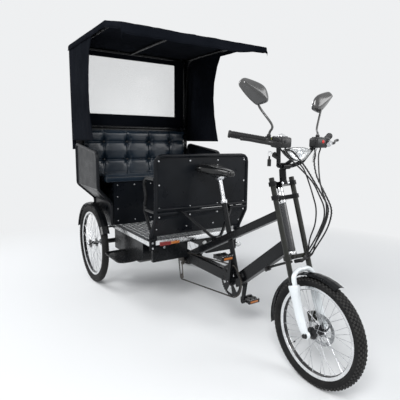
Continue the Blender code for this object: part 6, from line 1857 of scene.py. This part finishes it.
def fork_legs():
    legs = []
    for side in (1.0, -1.0):
        rings = []
        for ahead, deep, half, height in LEG_STATIONS:
            ring = []
            for k in range(12):
                a = 2 * math.pi * k / 12
                u = math.copysign(abs(math.cos(a)) ** 0.75, math.cos(a))
                v = math.copysign(abs(math.sin(a)) ** 0.75, math.sin(a))
                ring.append(steer(LEG_AHEAD + ahead + deep * u, side * LEG_SIDE + half * v, LEG_TOP + height))
            rings.append(ring)
        legs.append(lofted("leg", rings, 2))
        dropout = [
            (0.0, -0.013), (0.0175, -0.013), (0.0185, -0.010), (0.0185, 0.004), (0.0175, 0.007),
            (0.0, 0.007),
        ]
        legs.append(
            lathe("dropout", dropout, FRONT_HUB + LEFT * (side * LEG_SIDE), (0.0, side, 0.0), steps=36)
        )
    half = [
        (0.051, LEG_SIDE, 0.180), (0.053, LEG_SIDE, 0.262), (0.054, 0.060, 0.292), (0.055, 0.032, ARCH_TOP),
    ]
    spots = [(f, -y, t) for f, y, t in half] + [(0.055, 0.0, ARCH_TOP + 0.001)] + half[::-1]
    arch = piping("arch", smooth_path([steer(*p) for p in spots], 8), 0.0128, sides=5)
    made = crisp(shown_parts("fork_legs", legs + [arch], "steering", WHITE), 50.0)
    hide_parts("fork_lowers")
    seals = []
    for side in (1.0, -1.0):
        ring = [(0.0139, 0.0), (0.0180, 0.0), (0.0186, 0.004), (0.0176, 0.012), (0.0139, 0.014)]
        seals.append(
            lathe(
                "seal", ring, steer(LEG_AHEAD, side * LEG_SIDE, LEG_TOP + 0.0035), STEER_UP, steps=36,
                closed=True,
            ),
        )
    shown_parts("fork_seals", seals, "steering", GRIP)
    ends = []
    for side in (1.0, -1.0):
        ends.append((FRONT_HUB + LEFT * (side * 0.078), Vector((0.0, side, 0.0)), AHEAD))
    sizes = hex_sizes(0.0105, 0.0095, 0.0145, 0.0022)
    shown_copies(BOLTS, "front_axle_nuts", ends, sizes, "steering", HUB_BLACK_AND_PIT_SHADE)


def head_sleeve():
    foot = steer(0.0, 0.0, HEAD_FOOT)
    side = STEER_UP.orthogonal().normalized()
    other = STEER_UP.cross(side)
    around = 144
    rows = 56
    low, high = FLUTED
    rings = []
    for j in range(rows + 1):
        s = low + (high - low) * j / rows
        ring = []
        for k in range(around):
            a = 2 * math.pi * k / around
            r = SLEEVE_R + FLUTE_DEPTH * math.cos(FLUTES * (a + 2 * math.pi * s / FLUTE_PITCH))
            out = side * math.cos(a) + other * math.sin(a)
            ring.append(foot + STEER_UP * s + out * r)
        rings.append(ring)
    tube = lofted("head_sleeve", rings, 0)
    made = crisp(shown("head_sleeve", tube, ROOT, SLEEVE_GLOSS), 60.0)
    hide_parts("head_tube")
    cups = []
    for base, turn in ((0.0, 1.0), (HEAD_LENGTH, -1.0)):
        ring = [(r, base + turn * a) for r, a in CUP]
        cups.append(lathe("cup", ring, foot, STEER_UP, steps=56, closed=True))
    crisp(shown_parts("head_cups", cups, ROOT, CHROME), 40.0)


fork_legs()
head_sleeve()


# Chain of links, toothed wheels, pedals and the spider's bolts
CRANK_AT = (1.394, 0.349)
RING_SIDE = -0.050
CASSETTE_AT = (0.784, 0.349)
JOCKEY_AT = (0.799, 0.199)
CHAIN_PITCH = 0.0127
RING_R = 0.1010
CASSETTE_R = 0.0383
JOCKEY_R = 0.0233
SPIDER_R = 0.048
PEDAL_SHIFT = 0.008


def belt_line(circles):
    """Closed route round circles (x, z, radius) by their outer tangents, anticlockwise."""
    touches = []
    count = len(circles)
    for i in range(count):
        ax, az, ar = circles[i]
        bx, bz, br = circles[(i + 1) % count]
        apart = math.hypot(bx - ax, bz - az)
        touches.append(math.atan2(bz - az, bx - ax) - math.acos((ar - br) / apart))
    out = []
    for i in range(count):
        x, z, r = circles[i]
        start = touches[i - 1]
        end = touches[i]
        while end < start:
            end += 2 * math.pi
        for k in range(25):
            a = start + (end - start) * k / 24
            out.append(Vector((x + r * math.cos(a), z + r * math.sin(a))))
    return out


def even_places(route, step):
    """Places and directions at an even step along a closed route."""
    closed = route + [route[0]]
    total = sum((q - p).length for p, q in zip(closed, closed[1:]))
    count = round(total / step)
    gap = total / count
    places = []
    walked = 0.0
    wanted = 0.0
    for p, q in zip(closed, closed[1:]):
        span = (q - p).length
        while span > 1e-9 and wanted <= walked + span and len(places) < count:
            places.append((p + (q - p) * ((wanted - walked) / span), (q - p).normalized()))
            wanted += gap
        walked += span
    return places


def chain():
    route = belt_line([(*CRANK_AT, RING_R), (*CASSETTE_AT, CASSETTE_R), (*JOCKEY_AT, JOCKEY_R)])
    places = []
    for spot, run in even_places(route, CHAIN_PITCH):
        places.append(
            (at(spot.x, RING_SIDE, spot.y), Vector((run.y, 0.0, -run.x)), Vector((run.x, 0.0, run.y)))
        )
    sizes = {"Pitch": CHAIN_PITCH, "Plate height": 0.0078, "Chain width": 0.0070}
    made = shown_copies(LINKS, "chain_links", places, sizes, ROOT, CHAIN_STEEL)
    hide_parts("chain")


def teeth(name, body, centre, radius, count, sizes, look):
    places = []
    for k in range(count):
        a = 2 * math.pi * (k + 0.5) / count
        out = Vector((math.cos(a), 0.0, math.sin(a)))
        spot = at(centre[0] + radius * out.x, RING_SIDE, centre[1] + radius * out.z)
        places.append((spot, out, Vector((-out.z, 0.0, out.x))))
    shown_copies(LUGS, name, places, sizes, body, look)


def pedals():
    for side_name, side in (("left", 1.0), ("right", -1.0)):
        low, high = (Vector(v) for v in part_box("pedal_" + side_name))
        middle = (low + high) / 2
        reach = (high.x - low.x) / 2
        body = "pedal_" + side_name + "_body"
        lamps = []
        for fore in (1.0, -1.0):
            face = middle + Vector((fore * reach, side * PEDAL_SHIFT, 0.0))
            near = face - Vector((0.0012, 0.030, 0.0065))
            far = face + Vector((0.0022, 0.030, 0.0065))
            lamps.append(block_mesh("lamp", near, far, 0.0010))
        crisp(shown_parts("pedal_reflectors_" + side_name, lamps, body, AMBER_LENS))
        pins = []
        for fore in (1.0, -1.0):
            for k in range(5):
                y = side * PEDAL_SHIFT + (k - 2) * 0.017
                for up in (1.0, -1.0):
                    spot = middle + Vector((fore * (reach - 0.006), y, up * 0.0118))
                    pins.append((spot, Vector((0.0, 0.0, up)), AHEAD))
        sizes = dome_sizes(0.0024, 0.0030)
        shown_copies(DOMES, "pedal_pins_" + side_name, pins, sizes, body, STEEL)


chain()
ring_tooth = lug_sizes(0.0026, 0.0080, 0.0080)
teeth("ring_teeth", "crank", CRANK_AT, 0.0968, 40, ring_tooth, POWDER)
cassette_tooth = lug_sizes(0.0030, 0.0080, 0.0070)
teeth("cassette_teeth", ROOT, CASSETTE_AT, 0.0345, 15, cassette_tooth, CHAIN_STEEL)
pedals()
crank_bolts = []
for side in (1.0, -1.0):
    spot = at(CRANK_AT[0], side * 0.0745, CRANK_AT[1])
    crank_bolts.append((spot, Vector((0.0, side, 0.0)), AHEAD))
for k in range(5):
    a = math.radians(72.0 * k + 54.0)
    spot = at(CRANK_AT[0] + SPIDER_R * math.cos(a), RING_SIDE - 0.0025, CRANK_AT[1] + SPIDER_R * math.sin(a))
    crank_bolts.append((spot, Vector((0.0, -1.0, 0.0)), AHEAD))
sizes = dome_sizes(0.0052, 0.0030)
shown_copies(DOMES, "crank_bolts", crank_bolts, sizes, "crank", STEEL)


# Panel screws, floor plate bars and edge strip, reflectors and small lamps
FLOOR_TOP = 0.535
FLOOR_HALF = 0.385
FLOOR_FRONT = 0.944
PANEL_X = 1.009
BENCH_FRONT = 0.320
PANEL_COLUMNS = (-0.343, -0.112, 0.112, 0.343)
PANEL_ROWS = (1.066, 0.764, 0.706, 0.618)
PANEL_BEND = 0.700
SCREW_OUT = 0.0012
FRAME_BOLT_Y = 0.2728
FOOT_Y = 0.362
BAR_STEP = 0.0340
MARKER_AT = (0.9145, 0.080)


def panel_lean(z):
    """The partition's front face, which slopes back below its bend."""
    return PANEL_X - max(0.0, PANEL_BEND - z) * 0.079 / 0.135


def panel_screws():
    spots = []
    for face in (1.0, -1.0):
        for z in PANEL_ROWS:
            for y in PANEL_COLUMNS:
                narrow = 1.0 if z > PANEL_BEND else 1.0 - (PANEL_BEND - z) * 0.10
                spots.append((at(panel_lean(z) + face * SCREW_OUT, y * narrow, z), AHEAD * face, LEFT))
        for y in (-0.343, 0.343):
            spots.append((at(PANEL_X + face * SCREW_OUT, y, 0.914), AHEAD * face, LEFT))
    for k in range(6):
        y = -0.355 + 0.142 * k
        spots.append((at(BENCH_FRONT, y, 0.848), AHEAD, LEFT))
        spots.append((at(BENCH_FRONT, y, 0.566), AHEAD, LEFT))
    for z in (0.66, 0.755):
        for y in (-0.355, 0.355):
            spots.append((at(BENCH_FRONT, y, z), AHEAD, LEFT))
    sizes = dome_sizes(0.0042, 0.0026)
    shown_copies(DOMES, "panel_screws", spots, sizes, ROOT, STEEL)
    hex_spots = []
    for side in (-1.0, 1.0):
        hex_spots.append((at(FLOOR_FRONT + 0.0002, side * FRAME_BOLT_Y, FLOOR_TOP - 0.050), AHEAD, LEFT))
    sizes = hex_sizes(0.0062, 0.0050, 0.0090, 0.0014)
    shown_copies(BOLTS, "frame_bolts", hex_spots, sizes, ROOT, STEEL)


def floor_bars():
    """Raised bars of the chequer plate, turned by a quarter from one to the next."""
    bars = []
    rows = int((FLOOR_FRONT - 0.012 - (BENCH_FRONT + 0.012)) / BAR_STEP)
    columns = int((2 * FLOOR_HALF - 0.030) / BAR_STEP)
    for i in range(rows):
        for j in range(columns):
            x = BENCH_FRONT + 0.022 + i * BAR_STEP
            y = (j - (columns - 1) / 2) * BAR_STEP
            turn = math.radians(45.0 if (i + j) % 2 == 0 else -45.0)
            bars.append((at(x, y, FLOOR_TOP), UP, Vector((math.cos(turn), math.sin(turn), 0.0))))
    sizes = lug_sizes(0.0084, 0.0275, 0.0040)
    shown_copies(LUGS, "floor_bars", bars, sizes, ROOT, MACHINED)
    strip_low = FLOOR_TOP - 0.0285
    strip_top = FLOOR_TOP + 0.0012
    strips = [
        block_mesh(
            "strip",
            at(FLOOR_FRONT - 0.004, -FLOOR_HALF, strip_low),
            at(FLOOR_FRONT + 0.0016, FLOOR_HALF, strip_top),
            0.0008,
        ),
        block_mesh(
            "strip",
            at(FLOOR_FRONT - 0.022, -FLOOR_HALF + 0.001, FLOOR_TOP - 0.001),
            at(FLOOR_FRONT - 0.002, FLOOR_HALF - 0.001, FLOOR_TOP + 0.0014),
            0.0006,
        ),
    ]
    for side in (1.0, -1.0):
        a = at(BENCH_FRONT + 0.004, side * (FLOOR_HALF - 0.001), strip_low)
        b = at(FLOOR_FRONT, side * (FLOOR_HALF + 0.0016), strip_top)
        low = Vector((a.x, min(a.y, b.y), a.z))
        high = Vector((b.x, max(a.y, b.y), b.z))
        strips.append(block_mesh("strip", low, high, 0.0008))
    crisp(shown_parts("floor_edge", strips, ROOT, MACHINED))


def front_markers():
    low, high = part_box("front_reflector")
    face = high[0] - REAR_X
    middle = (low[2] + high[2]) / 2
    amber = block_mesh(
        "amber", at(face - 0.004, -0.226, middle - 0.009), at(face, -0.160, middle + 0.009), 0.0016,
    )
    crisp(shown("amber_marker", amber, ROOT, AMBER_LENS))
    lamps = []
    rims = []
    for x, y, z, wide, tall in ((*MARKER_AT, 0.461, 0.023, 0.018), (0.9240, 0.378, 0.412, 0.024, 0.017)):
        profile = [(0.0, 0.0), (1.0, 0.0), (0.96, 0.35), (0.80, 0.70), (0.50, 0.92), (0.0, 1.0)]
        for radius, target in ((1.0, lamps), (1.16, rims)):
            depth = 0.012 if target is lamps else 0.005
            mesh = lathe(
                "lamp", [(r * 0.01, a * depth) for r, a in profile], (0.0, 0.0, 0.0), AHEAD, steps=40,
            )
            oval = Matrix.Diagonal((1.0, radius * wide * 100.0, radius * tall * 100.0, 1.0))
            mesh.transform(Matrix.Translation(at(x, y, z)) @ oval)
            target.append(mesh)
    shown_parts("front_marker_lamps", lamps, ROOT, WHITE_LENS)
    shown_parts("front_marker_rims", rims, ROOT, CHROME)
    profile = [(0.0, 0.0), (0.0110, 0.0), (0.0105, 0.004), (0.0060, 0.007), (0.0, 0.0078)]
    spot = lathe("amber_spot", profile, at(*MARKER_AT, 0.418), AHEAD, steps=32)
    shown("amber_spot", spot, ROOT, AMBER_LENS)
    feet = [block_mesh("lamp_arm", at(0.904, 0.340, 0.398), at(0.9238, 0.386, 0.426), 0.002)]
    for side in (1.0, -1.0):
        y = side * FOOT_Y
        near = at(FLOOR_FRONT + 0.0018, y - 0.024, FLOOR_TOP - 0.060)
        far = at(FLOOR_FRONT + 0.0062, y + 0.024, FLOOR_TOP + 0.018)
        feet.append(block_mesh("foot", near, far, 0.0014))
    crisp(shown_parts("panel_feet", feet, ROOT, POWDER))
    screws = []
    for side in (1.0, -1.0):
        for z in (FLOOR_TOP - 0.010, FLOOR_TOP - 0.046):
            screws.append((at(FLOOR_FRONT + 0.0062, side * FOOT_Y, z), AHEAD, LEFT))
    sizes = hex_sizes(0.0050, 0.0040, 0.0075, 0.0012)
    shown_copies(BOLTS, "foot_bolts", screws, sizes, ROOT, STEEL)


panel_screws()
floor_bars()
front_markers()


# Floor
def floor_and_backdrop():
    """Pale floor that takes the shadow near the object and fades into the backdrop's colour away from it."""
    mesh = bpy.data.meshes.new("floor")
    size = 40.0
    corners = [(-size, -size, 0.0), (size, -size, 0.0), (size, size, 0.0), (-size, size, 0.0)]
    mesh.from_pydata(corners, [], [(0, 1, 2, 3)])
    floor = bpy.data.objects.new("floor", mesh)
    bpy.context.scene.collection.objects.link(floor)
    made = Finish("studio_floor", (0.84, 0.85, 0.86), 0.9, specular=0.05)
    made.colour(made.mix(made.noise(0.6, 2.0), (0.84, 0.85, 0.86), (0.82, 0.83, 0.84)))
    far = made.node("ShaderNodeVectorMath", operation="LENGTH")
    made.link(made.place, far.inputs[0])
    fade = made.range(far.outputs["Value"], 1.5, 3.4)
    fade = made.math("MULTIPLY", fade, fade)
    path = made.node("ShaderNodeLightPath")
    seen = made.math("MAXIMUM", path.outputs["Is Camera Ray"], path.outputs["Is Glossy Ray"])
    seen = made.math("MAXIMUM", seen, path.outputs["Is Transmission Ray"])
    plain = made.node("ShaderNodeEmission")
    plain.inputs["Color"].default_value = (*BACKDROP, 1.0)
    both = made.node("ShaderNodeMixShader")
    made.link(made.math("MULTIPLY", made.math("MINIMUM", fade, 1.0), seen), both.inputs["Fac"])
    made.link(made.shader.outputs[0], both.inputs[1])
    made.link(plain.outputs[0], both.inputs[2])
    made.link(both.outputs[0], made.tree.nodes["Material Output"].inputs["Surface"])
    mesh.materials.append(made.material)


floor_and_backdrop()
